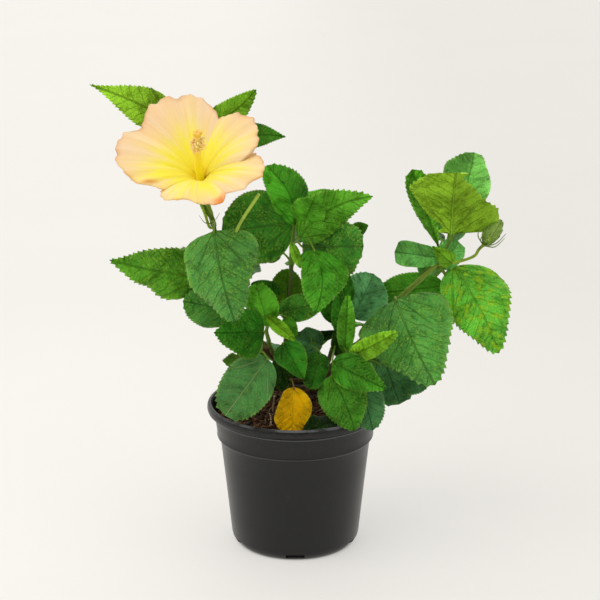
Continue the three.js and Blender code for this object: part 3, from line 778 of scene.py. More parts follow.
BETWEEN_JOINTS = 8
RIDGED, LIGHTLY_RIDGED, GREEN_RIDGED = 1.5, 0.7, 0.35
ridges, pits = clouds_texture("ridges", 3.2), clouds_texture("pits", 1.1)
for node, (route, foot_wide, tip_wide, foot_tint, tip_tint) in LIMBS.items():
    count = max(16, int(0.5 * sum(np.linalg.norm(np.diff(np.array(route), axis=0), axis=1))))
    line = curve(route, count)
    share = np.linspace(0, 1, count)
    radii = 0.5 * (foot_wide + (tip_wide - foot_wide) * share)
    if node == "trunk":
        radii = radii * (1 + 0.3 * np.exp(-((line[:, 2] - SOIL_AT_TRUNK) / 6) ** 2))
    for joint in np.arange(0.09, 1, BETWEEN_JOINTS / count):
        radii = radii * (1 + 0.16 * np.exp(-(((share - joint) * count) / 0.9) ** 2))
    tint = np.outer(1 - share, foot_tint) + np.outer(share, tip_tint)
    pile = Pile()
    tube(pile, line, radii, 12, tint, lumps=0.05)
    woody = foot_tint in (BROWN, RUSTY)
    limb = pile.build("limb_" + node, [bark_paint if woody else green_paint])
    modify(limb, "SUBSURF", levels=1, render_levels=1)
    depth = RIDGED if node in ("trunk", "bough_left") else LIGHTLY_RIDGED if woody else GREEN_RIDGED
    for texture, strength in ((ridges, depth), (pits, 0.5 * depth)):
        modify(limb, "DISPLACE", texture=texture, strength=strength * MM, mid_level=0.5,
               texture_coords="LOCAL")
    settle(limb, "limb_" + node, SLOT[node], node)

# %% [markdown]
# ## How a hibiscus leaf is built
# A blade is an oval that ends in a point. It has forward-leaning teeth on its outer two thirds, a
# groove along the midrib, and soft pillows between the side ribs. It is rarely flat: the halves
# fold, the margin waves, and the whole blade arches. A grid of rows and columns can say all of
# that: rows run from the foot to the tip, columns from margin to margin. The outer column moves in
# and out with the teeth, and the rows crowd where the teeth are, so every tooth gets a sharp point.
# The two halves of a blade are painted brighter or darker, as painted light, and the margin, the
# palest part, carries a painted highlight.

# %% Leaf outline
FRONT, BACK = (0, -0.97, 0.24), (0, 0.75, 0.66)
COLUMNS = np.sign(np.linspace(-1, 1, 17)) * np.abs(np.linspace(-1, 1, 17)) ** 0.85
MIDDLE_COLUMN = 8
TOOTH_START, TOOTH_END = 0.3, 0.975


def blade_rows(teeth):
    """Where the rows lie from foot to tip, and for each one how far the tooth stands out (0 to 1)."""
    rows = [(t, 0.0) for t in TOOTH_START * np.linspace(0, 1, 8)[:-1] ** 1.5]
    if not teeth:
        rows += [(t, 0.0) for t in np.linspace(TOOTH_START, 0.96, 20)]
    step = (TOOTH_END - TOOTH_START) / max(teeth, 1)
    for k in range(teeth):
        at = TOOTH_START + k * step
        rows += [(at, -0.35), (at + 0.34 * step, 0.3), (at + 0.70 * step, 1.0)]
    rows += [(TOOTH_END, -0.1 if teeth else 0.0), (1.0, 0.0)]
    return np.array(rows)


def outline(t, foot_power, tip_power):
    """Share of the full width at t: the two powers say how blunt the foot and the tip are."""
    peak = foot_power / (foot_power + tip_power)
    share = t ** foot_power * (1 - t) ** tip_power
    return share / (peak ** foot_power * (1 - peak) ** tip_power)


def smooth_table(x, xs, ys, spread=0.035):
    """Interpolates a table and rounds its corners."""
    offsets = np.linspace(-2, 2, 9) * spread
    weights = np.exp(-0.5 * (offsets / spread) ** 2)
    return np.average([np.interp(x + o, xs, ys) for o in offsets], axis=0, weights=weights)


# %% One leaf
RIB_PAIRS, RIB_SLANT = 7, 0.85
TOOTH_OUT = 0.22  # share of the way from one tooth to the next
TOOTH_FORWARD = 0.25  # share of the leaf's length over its number of teeth
RIPPLE_HIGH, PILLOW_HIGH = 0.05, 0.026  # shares of the leaf's width
THICK, GROOVE_DEEP = 0.32, 0.9
CURL_START = 0.55
# a painted highlight along the leaf's margin
MARGIN_HIGHLIGHT = (0.10, 0.13, 0.02)


def leaf(pile, foot, tip, width, powers, tint, trait, face=FRONT, fold=0, arch=None, lean=0, bow=0,
         curl=0, wavy=1.0, twist=0, cup=0, teeth=13, halves=None, left=(), right=()):
    """Adds a blade from foot to tip in mm. fold lifts the halves, arch the middle, curl the tip."""
    foot, tip = np.asarray(foot, float), np.asarray(tip, float)
    length = float(np.linalg.norm(tip - foot))
    along = unit(tip - foot)
    up = unit(np.asarray(face, float) - along * np.dot(face, along))
    side = np.cross(up, along)
    arch = 0.05 * length if arch is None else arch

    rows = blade_rows(teeth)
    t, s = rows[:, :1], COLUMNS[None, :]
    tooth = rows[:, 1] * rng.uniform(0.7, 1.25, len(rows))
    tooth = tooth[:, None] * np.abs(s) ** 9 * min(1.0, width / 30)
    half = np.maximum(outline(t, *powers) * width / 2, 0.9 * (1 - t) + 0.12)
    for table, here in ((left, s < 0), (right, s > 0)):
        if table:
            places, shares = zip((0, 1), *table, (1, 1))
            half = half * np.where(here, smooth_table(t, places, shares), 1)
    out_by = s * half
    between_teeth = (TOOTH_END - TOOTH_START) * length / max(teeth, 1)
    across = out_by + np.sign(s) * tooth * TOOTH_OUT * between_teeth
    across = across + lean * width * np.sin(math.pi * t) + 4 * t * (1 - t) * bow
    forward = t * length + np.maximum(tooth, 0) * TOOTH_FORWARD * length / max(teeth, 1)

    phase = (t - RIB_SLANT * np.abs(out_by) / length) * RIB_PAIRS + 0.25 * np.sign(s)
    pillow = np.abs(np.sin(math.pi * phase)) * (1 - np.exp(-(out_by / 2.5) ** 2)) * (1 - np.abs(s) ** 6)
    groove = np.exp(-(out_by / 1.1) ** 2) * (1 - t)
    beat = rng.uniform(0, ROUND, 4)
    ripple = np.where(s > 0, np.sin(math.tau * 2.3 * t + beat[0]), np.sin(math.tau * 2.0 * t + beat[1]))
    ripple = ripple + np.sin(math.tau * 0.9 * t + beat[2]) * 0.6
    ripple = ripple * wavy * RIPPLE_HIGH * width * np.abs(s) ** 2.2
    ripple = ripple * np.minimum(1, 4 * t) * np.minimum(1, 5 * (1 - t) + 0.2)
    swell = (np.sin(out_by / (0.13 * width) + 5 * t + beat[3]) * np.sin(t * length / 9 + beat[2])
             + 0.6 * np.sin(out_by / 4.6 + beat[1]) * np.sin(t * length / 5.2 + beat[3]))
    swell = swell * 0.55 * wavy * min(1, width / 40) * (1 - np.exp(-(out_by / 4) ** 2)) * (1 - t)
    rise = (4 * t * (1 - t) * arch + np.abs(out_by) * math.tan(math.radians(fold))
            + cup * (out_by / max(width / 2, 1)) ** 2 * width / 2
            + ripple + swell + PILLOW_HIGH * width * pillow - GROOVE_DEEP * groove
            - curl * np.maximum(0, (t - CURL_START) / (1 - CURL_START)) ** 2)
    angle = np.radians(twist) * (t - 0.3)
    wide = across * np.cos(angle) * math.cos(math.radians(fold))
    rise = rise + across * np.sin(angle)
    top = foot + forward[..., None] * along + wide[..., None] * side + rise[..., None] * up

    flat = np.column_stack([(out_by / length + 0.5 + 0 * t).ravel(), (forward / length).ravel()])
    patch = np.column_stack([part.ravel() for part in np.broadcast_arrays((s + 1) / 2, t)])
    # painted light: each half of the blade is painted brighter or darker, with a slow swell from foot to
    # tip, and the margin gets a painted highlight
    halves = rng.uniform(0.80, 1.22, 2) if halves is None else halves
    painted_light = np.interp(s, (-1, -0.12, 0.12, 1), np.repeat(halves, 2)) * (1 + 0.16 * np.sin(3.1 * t + beat[0]))
    margin = (np.abs(s) > 0.99) * min(1.0, width / 25) + 0 * t
    tints = np.asarray(tint) * painted_light[..., None] + margin[..., None] * MARGIN_HIGHLIGHT
    pile.add_sheet(top, THICK, tints, trait, flat, patch)
    keel = [foot + along * length * k + up * (np.interp(k, t.ravel(), rise[:, MIDDLE_COLUMN]) - 0.5)
            + side * np.interp(k, t.ravel(), wide[:, MIDDLE_COLUMN]) for k in np.linspace(0.0, 0.8, 12)]
    tube(pile, keel, np.linspace(0.85, 0.3, 12) * min(1, 0.4 + width / 60), 5,
         np.array(tint) * 1.5 + 0.02, trait, 1)


# %% [markdown]
# ## Leaf finish
# A leaf's green is never one green. The base colour comes from the leaf's tone. Over it lie broad cloudy
# changes and finer crinkles between a darker and a lighter green, small light flecks, a grey wash
# that is partly dust and partly painted sheen, yellow patches and brown specks on the older leaves,
# and ribs that are a little paler or darker than the blade. The pillows between the ribs are painted
# lighter and the darker ribs are partly painted shade, as light and shade would fall on the quilted
# blade. The ribs follow the blade, so they are drawn on its own UV map: the first number
# is the distance from the midrib, the second the way from foot to tip. Upper and under side share
# this pattern, so it is a node group. Its saw-like phase runs from rib to rib, and palm is the fan
# of strong ribs at the foot.

# %% Rib pattern
ribs = bpy.data.node_groups.new("rib_pattern", "ShaderNodeTree")
ribs.interface.new_socket("Blade", in_out="INPUT", socket_type="NodeSocketVector")
for title in ("Pairs", "Slant"):
    ribs.interface.new_socket(title, in_out="INPUT", socket_type="NodeSocketFloat")
for title in ("Ribs", "Fine net", "Pillow"):
    ribs.interface.new_socket(title, in_out="OUTPUT", socket_type="NodeSocketFloat")
take_up(ribs)
source = ribs.nodes.new("NodeGroupInput")
blade, pairs, slant = (wire(source, k) for k in range(3))
sideways, run, _ = split(blade)
off = sideways - 0.5
away = calc("ABSOLUTE", off)
midrib = fade(away, 0.004, 0.014, 1.0, 0.0)
waver = clouds(blade, 7, detail=2) - 0.5
phase = (run - away * slant) * pairs + calc("SIGN", off) * 0.25 + waver * 0.8
saw = calc("ABSOLUTE", calc("FRACT", phase) - 0.5)
side_rib = fade(saw, 0.455, 0.49) * fade(away, 0.22, 0.40, 1.0, 0.25)
fan_slope = calc("DIVIDE", away, run + 0.012)
palm = fade(calc("ABSOLUTE", fan_slope - 0.62), 0.02, 0.055, 1.0, 0.0) * fade(run, 0.30, 0.48, 1.0, 0.0)
feed(ribs.nodes.new("NodeGroupOutput"), {
    "Ribs": calc("MAXIMUM", calc("MAXIMUM", midrib, side_rib * 0.75), palm),
    "Fine net": fade(cells(blade, 34.0, "DISTANCE_TO_EDGE"), 0.0, 0.10, 1.0, 0.0),
    "Pillow": calc("SINE", saw * math.pi),
})

# %% Leaf materials
def leaf_paint(name, under):
    made, shader, place = finish(name)
    pattern = put("Group", node_tree=ribs)
    blade_map = wire(put("UVMap", uv_map="blade"))
    feed(pattern, {"Blade": blade_map, "Pairs": RIB_PAIRS, "Slant": RIB_SLANT})
    line, net, pillow = (wire(pattern, k) for k in range(3))
    tint = painted("tint")
    fleck, spot, grey = split(painted("trait"))
    pale_rib = painted("trait", "Alpha")

    broad = clouds(place, 62, detail=4)
    light = shift_colour(tint, 1.62, fade(pale_rib, 0.0, 0.1, 1.0, 0.95))
    dark = shift_colour(tint, fade(pale_rib, 0.0, 0.1, 0.75, 0.42))
    tone = blend(fade(broad, 0.40, 0.60), dark, light)
    tone = blend(patches(place, 230, 0.42, 0.60, detail=4, roughness=0.6) * 0.45, tone, light)
    # painted light: the pillows between the ribs are painted lighter, as if lit on the quilted blade
    tone = blend(pillow * 0.45, tone, light)
    small = patches(place, 520, 0.50, 0.61, detail=3, roughness=0.65)
    freckles = small * patches(place, 95, 0.36, 0.52, detail=2) * fleck
    tone = blend(freckles * 0.85, tone, blend(0.70, tint, (0.30, 0.55, 0.06, 1)))
    # a grey wash that is partly dust and partly painted sheen
    dust_and_sheen = patches(place, 42, 0.40, 0.62, detail=2) * grey
    tone = blend(dust_and_sheen * 0.45, tone, (0.110, 0.260, 0.095, 1))
    # the darker ribs are partly the ribs' own colour and partly painted shade in their grooves
    rib_tone = blend(fade(pale_rib, 0.35, 0.9), dark, (0.28, 0.42, 0.14, 1))
    tone = blend(net * fade(pale_rib, 0.0, 0.2, 0.0, 0.28), tone, rib_tone)
    tone = blend(line * (pale_rib * 0.40 + fade(pale_rib, 0.0, 0.2, 0.05, 0.38)), tone, rib_tone)
    ageing = patches(place, 130, 0.46, 0.60, detail=3, roughness=0.6) * pillow * fade(spot, 0.1, 1.0)
    tone = blend(ageing * 0.80, tone, (0.36, 0.62, 0.020, 1))
    speck = fade(cells(place, 170), 0.09, 0.17, 1.0, 0.0) * patches(place, 75, 0.44, 0.50, detail=1)
    tone = blend(speck * fade(spot, 0.15, 0.3) * 0.8, tone, (0.10, 0.05, 0.008, 1))
    if under:
        tone = blend(0.25, tone, (0.22, 0.36, 0.03, 1))
    feed(shader, {
        "Base Color": tone,
        "Roughness": broad * 0.16 + (0.56 if under else 0.30),
        "Specular IOR Level": 0.12 if under else 0.30,
        "Specular Tint": (0.45, 1.0, 0.20, 1),
    })
    crumple = clouds(place, 380, detail=2) + clouds(place, 150, detail=2)
    rib_high, pillow_high, net_high = (0.9, -0.25, 0.12) if under else (-0.6, 0.5, -0.16)
    relief(shader, line * rib_high + pillow * pillow_high + net * net_high + crumple * 0.6, 0.0018)
    return made


leaf_top, leaf_under = leaf_paint("leaf_upper", False), leaf_paint("leaf_under", True)

# %% [markdown]
# ## Greens
# Old leaves are deep green, some washed grey by dust and by painted sheen, younger ones bright, and
# the newest nearly lime. Each tone is a base colour and four amounts: light flecks, yellow spots,
# grey wash (partly painted sheen), and how pale the ribs are.

# %% Tones
# painted light in the tones: grey and pale hold painted sheen in their colour, and shaded and dim_teal are
# darkened as painted shade
TONES = {
    "shaded": ((0.006, 0.036, 0.001), (0.2, 0.0, 0.1, 0.2)),
    "deep": ((0.016, 0.150, 0.001), (0.4, 0.0, 0.0, 0.25)),
    "deep_flecked": ((0.031, 0.205, 0.006), (1.0, 0.0, 0.20, 0.5)),
    "mottled": ((0.058, 0.245, 0.028), (1.0, 0.12, 0.50, 0.35)),
    "mid": ((0.044, 0.235, 0.003), (0.6, 0.05, 0.1, 0.25)),
    "bright": ((0.078, 0.320, 0.003), (0.5, 0.05, 0.1, 0.3)),
    "clear": ((0.038, 0.255, 0.001), (0.5, 0.0, 0.05, 0.2)),
    "lime": ((0.160, 0.410, 0.001), (0.3, 0.1, 0.0, 0.3)),
    "young": ((0.072, 0.350, 0.001), (0.2, 0.15, 0.0, 0.1)),
    "olive": ((0.260, 0.530, 0.001), (0.3, 0.2, 0.0, 0.45)),
    "brown_green": ((0.037, 0.160, 0.001), (0.2, 0.0, 0.0, 0.3)),
    "grey": ((0.050, 0.180, 0.055), (0.3, 0.0, 0.6, 0.3)),
    "teal": ((0.130, 0.440, 0.160), (0.3, 0.0, 0.5, 0.2)),
    "dim_teal": ((0.075, 0.260, 0.085), (0.2, 0.0, 0.3, 0.3)),
    "pale": ((0.265, 0.760, 0.125), (0.2, 0.0, 0.1, 0.15)),
    "fresh": ((0.120, 0.460, 0.070), (0.7, 0.0, 0.5, 0.4)),
    "veined": ((0.043, 0.205, 0.038), (0.4, 0.0, 0.35, 1.0)),
    "spotted": ((0.088, 0.400, 0.014), (0.8, 1.0, 0.1, 0.15)),
    "speckled": ((0.074, 0.305, 0.003), (0.9, 0.35, 0.1, 0.2)),
    "yellow": ((0.750, 0.390, 0.000), (0.0, 0.3, 0.0, 0.0)),
}

# %% [markdown]
# ## The sprays
# The CAD gives one closed mass for each spray. A spray grows inside its mass from a short stem:
# each leaf starts on the stem with a stalk, and its foot and tip are shares of the mass's box, so
# that the leaves stay where the frame has them. After the two places come the width in mm, the
# tone, the two powers of the outline, and whatever else makes this leaf its own. left and right
# say where along the blade a half is narrower or wider, and halves how much painted light each one gets.

# %% Placing and stalks
STALK_TINT, STALK_OLD = (0.17, 0.31, 0.025), (0.16, 0.10, 0.015)
STALK_SIZES = ((0, 1.5), (0.1, 1.05), (0.6, 0.85), (1, 0.7))


def spot(node, share):
    """A place in mm, from shares of a node's box."""
    low, high = (np.array(corner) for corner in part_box(node))
    return (low + share * (high - low)) / MM


def stalk(pile, start, end, along, width, tint=STALK_TINT):
    """A leaf stalk from a stem to the foot of a blade, leaving the stem a little steeply."""
    lift = 0.12 * np.linalg.norm(end - start)
    route = [start, 0.5 * (start + end) + (0, 0, lift), end, end + 2.2 * along]
    thick = 0.55 + width / 90
    grow(pile, route, 14, [(share, size * thick) for share, size in STALK_SIZES], 7, tint)
    for turn in (-1, 1):
        hair = np.array([turn * 1.5, -1.2, 4.2])
        tube(pile, [start, start + hair * 0.5, start + hair], [0.4, 0.28, 0.08], 4, np.array(tint) * 0.8)


def near(stem, point):
    return min(stem, key=lambda p: np.linalg.norm(p - point))


# %% Rows of the sprays that face the front
SPRAYS = {
    "bloom_leaves": ([(.63, 0, 0), (.59, .06, .07), (.56, .22, .14), (.57, .38, .37), (.58, .42, .55)], [
        ((.40, .46, .70), (0, .37, .99), 38, "olive", (.5, 1.5),
         dict(lean=-.05, fold=8, teeth=14, wavy=.7)),
        ((.58, .46, .66), (.85, .37, .95), 27, "lime", (.5, .85), dict(lean=-.2, fold=5, wavy=1.2)),
        ((.74, .40, .56), (1, .31, .59), 24, "mid", (.5, 1.2), dict(lean=.12, fold=5, arch=-3)),
        ((.54, .53, .38), (.38, .99, .31), 44, "mid", (.5, .7), dict(face=BACK)),
        ((.61, .55, .50), (.75, .96, .54), 40, "bright", (.5, .7), dict(face=BACK)),
    ]),
    "spray_left": ([(.90, .86, .01), (.83, .88, .24), (.75, .91, .58), (.70, .97, .94)], [
        ((.63, .65, .59), (0, .35, .78), 47, "speckled", (.5, 1.15),
         dict(lean=.05, fold=-10, wavy=1.7, right=[(.4, 1.08), (.55, .8), (.75, 1.1)])),
        ((.71, .47, .99), (.86, .01, .35), 72, "mottled", (.36, .8),
         dict(lean=-.03, fold=-12, arch=4, wavy=1.8, teeth=12,
              left=[(.1, 1.0), (.28, .88), (.38, .84), (.5, .95), (.62, .82), (.8, .72)],
              right=[(.1, 1.15), (.3, 1.08), (.45, .98), (.6, .78), (.75, .8)])),
        ((.83, .69, .29), (.49, .49, .42), 40, "mottled", (.5, .6)),
    ]),
    "spray_left_low": ([(.72, 1.01, .45), (.73, .75, .50)], [
        ((.79, .64, .73), (.01, .18, .83), 46, "deep", (.5, 1.0),
         dict(arch=4, wavy=1.1, right=[(.3, 1.1)])),
        ((.84, .64, .45), (.18, .01, .03), 48, "veined", (.42, .45), dict(fold=-6, wavy=.5, teeth=12)),
        ((.68, .83, .35), (.17, .61, .30), 21, "grey", (.5, .7)),
    ]),
    "spray_centre": ([(.46, .87, .18), (.47, .84, .35), (.48, .81, .51)], [
        ((.47, .74, .53), (0, .54, .50), 68, "deep_flecked", (.5, .55), dict(wavy=.4, teeth=16)),
        ((.48, .72, .51), (.30, .52, 1), 39, "clear", (.5, .6),
         dict(lean=-.22, fold=-22, wavy=.4, halves=(.95, 1.9))),
        ((.54, .58, .56), (.62, .19, .84), 32, "young", (.45, .6), dict(arch=4, wavy=.6, curl=-3)),
        ((.54, .85, .58), (.74, .99, .72), 24, "young", (.5, .7), dict(wavy=.5)),
        ((.51, .54, .45), (.99, .25, .82), 40, "bright", (.5, 1), dict(bow=9, fold=-8, arch=5)),
        ((.53, .62, .37), (.93, .19, .46), 54, "deep_flecked", (.42, .55),
         dict(fold=-8, teeth=13, wavy=1.4, left=[(.4, 1.1), (.8, 1.15)])),
        ((.61, .36, .40), (.62, .01, 0), 44, "clear", (.45, .9),
         dict(lean=.16, fold=-8, left=[(.3, .8), (.7, 1.1)], right=[(.3, 1.15), (.6, 1.1)])),
        ((.87, .93, .42), (.98, .95, .47), 14, "brown_green", (.5, .9), dict(teeth=7)),
        ((.46, .38, .45), (.52, .31, .27), 9, "lime", (.6, .8), dict(teeth=6)),
    ]),
    "spray_young": ([(.28, .48, .01), (.25, .45, .20), (.33, .59, .34)], [
        ((.50, .80, .36), (.52, .98, .98), 33, "brown_green", (.5, .6), dict(face=BACK, wavy=.4)),
        ((.28, .34, .28), (.12, .02, .99), 30, "young", (.5, .55), dict(fold=-8, wavy=.4, teeth=10)),
        ((.41, .59, .42), (.99, .34, .64), 26, "deep_flecked", (.5, .6), dict(wavy=.4)),
        ((.25, .20, .47), (.63, .05, .14), 12, "lime", (.6, .8), dict(cup=.7, wavy=.3, teeth=7)),
        ((.50, .41, .41), (.61, .27, .11), 14, "young", (.5, .6), dict(teeth=7)),
        ((.47, .91, .55), (.04, .95, .76), 21, "deep", (.5, .7), dict(wavy=.5)),
    ]),
    "spray_mid": ([(.13, .76, .18), (.20, .73, .27), (.29, .73, .46)], [
        ((.42, .84, .49), (.71, .99, .92), 49, "teal", (.5, .6), dict(wavy=.5)),
        ((.39, .88, .45), (0, .92, .64), 25, "deep", (.5, .5)),
        ((.35, .86, .61), (.22, .93, 1), 21, "deep", (.5, .5)),
        ((.30, .54, .21), (.33, .40, .90), 17, "bright", (.7, .8),
         dict(cup=.3, teeth=10, wavy=2.2, halves=(1.3, .8))),
        ((.29, .65, .32), (.23, .57, .89), 20, "deep", (.6, .7)),
        ((.35, .37, .24), (.97, .05, .63), 20, "lime", (.55, .7), dict(cup=.3, wavy=1.3, halves=(.8, 1.4))),
        ((.13, .40, .18), (.82, .01, .05), 31, "clear", (.5, .9),
         dict(wavy=1.7, halves=(1.1, .85), right=[(.5, 1.2)])),
        ((.22, .84, .34), (-.37, .88, .32), 11, "shaded", (.5, .7), dict(teeth=7, wavy=3, bow=4, fold=20)),
        ((.30, .63, .12), (.20, .60, .46), 19, "shaded", (.5, .6), dict(wavy=1.5, halves=(1.6, 1.0))),
    ]),
    "spray_low": ([(.12, .98, .02), (.37, .79, .41), (.58, .75, .74)], [
        ((.05, .59, .89), (.46, .07, .28), 27, "deep", (.3, .8),
         dict(wavy=1.2, fold=-10, halves=(1.0, 1.5), left=[(.2, 1.2), (.6, .9)], right=[(.5, 1.2)])),
        ((.78, .57, .67), (.58, .01, .07), 23, "deep", (.25, .4),
         dict(wavy=2.2, fold=-10, halves=(.6, .8))),
        ((.81, .79, .71), (.30, .64, 1.00), 28, "grey", (.3, .45),
         dict(wavy=2.4, fold=-8, halves=(.8, 1.6))),
        ((.07, .78, .59), (.02, .46, -.19), 22, "shaded", (.5, .8), dict(wavy=1.2)),
    ]),
    "spray_right_top": ([(.43, .49, .15), (.48, .49, .20), (.55, .50, .32)], [
        ((.44, .54, .26), (.13, .35, .89), 24, "bright", (1.1, .4), dict(fold=14, halves=(1.3, .7))),
        ((.56, .48, .38), (.54, .05, .93), 84, "olive", (.2, .3),
         dict(arch=4, wavy=.5, face=BACK, teeth=11, halves=(1.12, .86),
              left=[(.04, .1), (.12, .28), (.4, .66), (.62, .98), (.8, 1.12), (.93, 1.06)],
              right=[(.04, 1.24), (.12, 1.13), (.22, 1.09), (.36, .98), (.54, .65), (.8, .24), (.93, .15)])),
        ((.66, .61, .50), (.77, .43, 1), 46, "pale", (.5, .55),
         dict(fold=-12, wavy=.6, teeth=17, halves=(1.1, .55), left=[(.45, 1.02), (.85, .8)],
              right=[(.5, 1.0), (.8, 1.25)])),
        ((.45, .50, .19), (-.03, .36, .27), 27, "fresh", (.4, .2),
         dict(wavy=1.2, teeth=0, fold=8, halves=(.8, 1.2), left=[(.5, .8)], right=[(.6, .9)])),
        ((.46, .54, .10), (.66, .62, .28), 25, "fresh", (.4, .3), dict(wavy=1.2, teeth=9)),
        ((.26, .52, .05), (.42, .56, .22), 22, "fresh", (.5, .3), dict(wavy=1.2, teeth=0)),
        ((.58, .46, .15), (.36, .41, .30), 17, "lime", (.5, 1.1), dict(fold=14, teeth=7, halves=(1.2, .8))),
    ]),
    "spray_right_hang": ([(.45, .60, .99), (.50, .65, .85)], [
        ((.56, .67, .95), (.89, .01, .02), 62, "spotted", (.5, .85),
         dict(lean=.06, fold=-14, arch=4, teeth=13, wavy=1.2, halves=(1.0, .92),
              left=[(.3, .85), (.6, .95), (.85, .85)], right=[(.2, 1.1), (.5, 1.12), (.8, .9)])),
        ((.50, .83, .65), (0, .99, .50), 33, "mid", (.5, .5), dict(wavy=.4)),
    ]),
    "spray_right_front": ([(.33, .99, .76), (.34, .85, .85)], [
        ((.35, .67, .93), (.79, .01, .02), 86, "mottled", (.34, .8),
         dict(lean=-.03, fold=-14, arch=6, teeth=11, wavy=1.3,
              left=[(.15, 1.15), (.35, .95), (.55, .92), (.8, .8)],
              right=[(.2, 1.1), (.5, 1.05), (.8, .85)])),
    ]),
    "spray_low_right": ([(.35, .82, .84), (.46, .88, .88)], [
        ((.58, .99, .98), (.74, .59, .25), 52, "dim_teal", (.5, .5), dict(wavy=.5)),
        ((.66, .83, .63), (.99, .54, .58), 29, "grey", (.5, .7)),
        ((.13, .49, .78), (.33, .01, .08), 45, "mid", (.42, .75),
         dict(fold=-8, teeth=12, lean=.04, halves=(.85, .95))),
        ((.38, .59, .68), (.49, .17, .01), 35, "grey", (.5, .6)),
    ]),
    "yellow_leaf": ([(.34, .99, .48), (.41, .64, .94)], [
        ((.53, .21, .98), (.47, .01, .01), 34, "yellow", (.45, .45),
         dict(fold=-5, wavy=.7, teeth=0, left=[(.2, .8), (.45, .9), (.7, 1.1)],
              right=[(.3, 1.1), (.55, 1.0), (.8, .75)])),
    ]),
    "leaf_in_pot": ([(.01, .42, .08), (.14, .36, .14)], [
        ((.26, .31, .18), (.99, .84, .70), 28, "shaded", (.5, .6), dict(face=(0, -.4, .9))),
    ]),
}

# %% [markdown]
# The hidden side of the shrub follows a rule instead of rows. Leaves leave each back shoot in a
# fan: the headings step through it by the golden ratio, and the leaves get shorter and steeper
# towards the top. A row holds the stem, the number of leaves, the two headings and the two rises
# in degrees, the length and width of a leaf and the length of its stalk in mm. A smaller fan at
# the tip of each shoot adds a tuft of new leaves, still folded.

# %% Rows of the sprays at the back
FANS = {
    "spray_back_left": ([(.83, .02, .02), (.60, .13, .31), (.40, .20, .65)],
        6, (62, 140), (-25, 20), 74, 52, 14),
    "spray_back_centre": ([(.58, .02, .01), (.58, .15, .31), (.61, .23, .58)],
        6, (25, 160), (-15, 25), 62, 48, 14),
    "spray_back_right": ([(.04, .03, .10), (.29, .10, .31), (.51, .12, .65)],
        6, (15, 120), (-30, 10), 72, 52, 14),
    "spray_back_low": ([(.69, -.02, .01), (.63, .20, .25), (.61, .39, .43)],
        5, (30, 160), (-6, 12), 64, 46, 14),
    "spray_back_top": ([(.25, .01, .02), (.41, .24, .19), (.55, .43, .51)],
        5, (40, 120), (5, 40), 50, 38, 12),
}
BACK_TONES = ["mid", "deep_flecked", "bright", "deep", "veined"]


def fan_of(stem, count, headings, rise, length, width, reach):
    """Leaves of one shoot as (node on the stem, foot, tip, width), all in mm."""
    line = curve(stem, 61)
    rows = []
    for k in range(count):
        t = (k + 1) / count
        node = line[int(60 * t)]
        heading = math.radians(headings[0] + (headings[1] - headings[0]) * ((k * 0.618 + 0.3) % 1))
        lift = math.radians(rise[0] + (rise[1] - rise[0]) * t)
        away = np.array([math.cos(heading), math.sin(heading), 0])
        foot = node + away * reach + (0, 0, 0.6 * reach)
        size = 1 - 0.25 * t
        tip = foot + size * length * (away * math.cos(lift) + (0, 0, math.sin(lift)))
        rows.append((node, foot, tip, size * width))
    return rows


# %% Grow the sprays
def shoot(stem, thick):
    grow(twigs, stem, 18, [(0, thick), (1, 0.6 * thick)], 8, STEM_GREEN, lumps=0.06)


def tuft(leaves, stem, count, size):
    """New leaves at the tip of a shoot."""
    way = unit(stem[-1] - stem[-2])
    tint, trait = TONES["lime"]
    for k in range(count):
        turn = GOLDEN * k + rng.uniform(0, ROUND)
        spread = np.array([math.cos(turn), math.sin(turn), 0.3]) * 0.55
        outwards = unit(way + spread)
        reach = size * rng.uniform(0.7, 1.1)
        foot = stem[-1] + outwards * 1.5
        leaf(leaves, foot, foot + outwards * reach, 0.42 * reach, (.6, .9), tint, trait, face=-spread,
             fold=22, wavy=0.3, teeth=4)


def shade_of(tone):
    """A tone's colour and amounts, each leaf a little apart from its neighbours."""
    tint, trait = TONES[tone]
    change = rng.uniform(0.88, 1.14)
    return tuple(np.array(tint) * change * rng.uniform(0.96, 1.04, 3)), trait


def finish_spray(leaves, node):
    made = leaves.build("leaves_" + node, [leaf_top, leaf_under])
    settle(made, "leaves_" + node, SLOT[node], node)


twigs = Pile()
for node, (stem, rows) in SPRAYS.items():
    leaves = Pile()
    stem = [spot(node, p) for p in stem]
    shoot(stem, 1.5 if node in ("yellow_leaf", "leaf_in_pot") else 2.2)
    for foot, tip, width, tone, powers, *extra in rows:
        foot, tip = spot(node, foot), spot(node, tip)
        shade = shade_of(tone)
        stalk_tint = STALK_OLD if tone == "yellow" else STALK_TINT
        stalk(twigs, near(stem, foot), foot, unit(tip - foot), width, stalk_tint)
        leaf(leaves, foot, tip, width, powers, *shade, **dict(*extra))
    if len(rows) > 3:
        tuft(leaves, stem, 3, 9)
    finish_spray(leaves, node)

for node, (stem, *rule) in FANS.items():
    leaves = Pile()
    stem = [spot(node, p) for p in stem]
    shoot(stem, 2.4)
    for k, (start, foot, tip, width) in enumerate(fan_of(stem, *rule)):
        shade = shade_of(BACK_TONES[(k + len(node)) % 5])
        stalk(twigs, start, foot, unit(tip - foot), width)
        leaf(leaves, foot, tip, width, (.45, .7), *shade, face=BACK, fold=-8, curl=3,
             twist=rng.uniform(-18, 18))
    tuft(leaves, stem, 4, 12)
    finish_spray(leaves, node)
settle(twigs.build("green_twigs", [green_paint]), "green_twigs", "green_stem")

# %% [markdown]
# ## The bloom
# Five thin petals overlap like a fan round a deep throat. Each one is a sheet over a polar grid:
# columns go round the bloom, rows go outwards from the throat, and a table of rim places says how
# far each part of the petal reaches and how deep the cup is there. Ruffles are waves that grow
# towards the rim. The petals lie on each other in a fixed order, a few tenths of a millimetre apart.

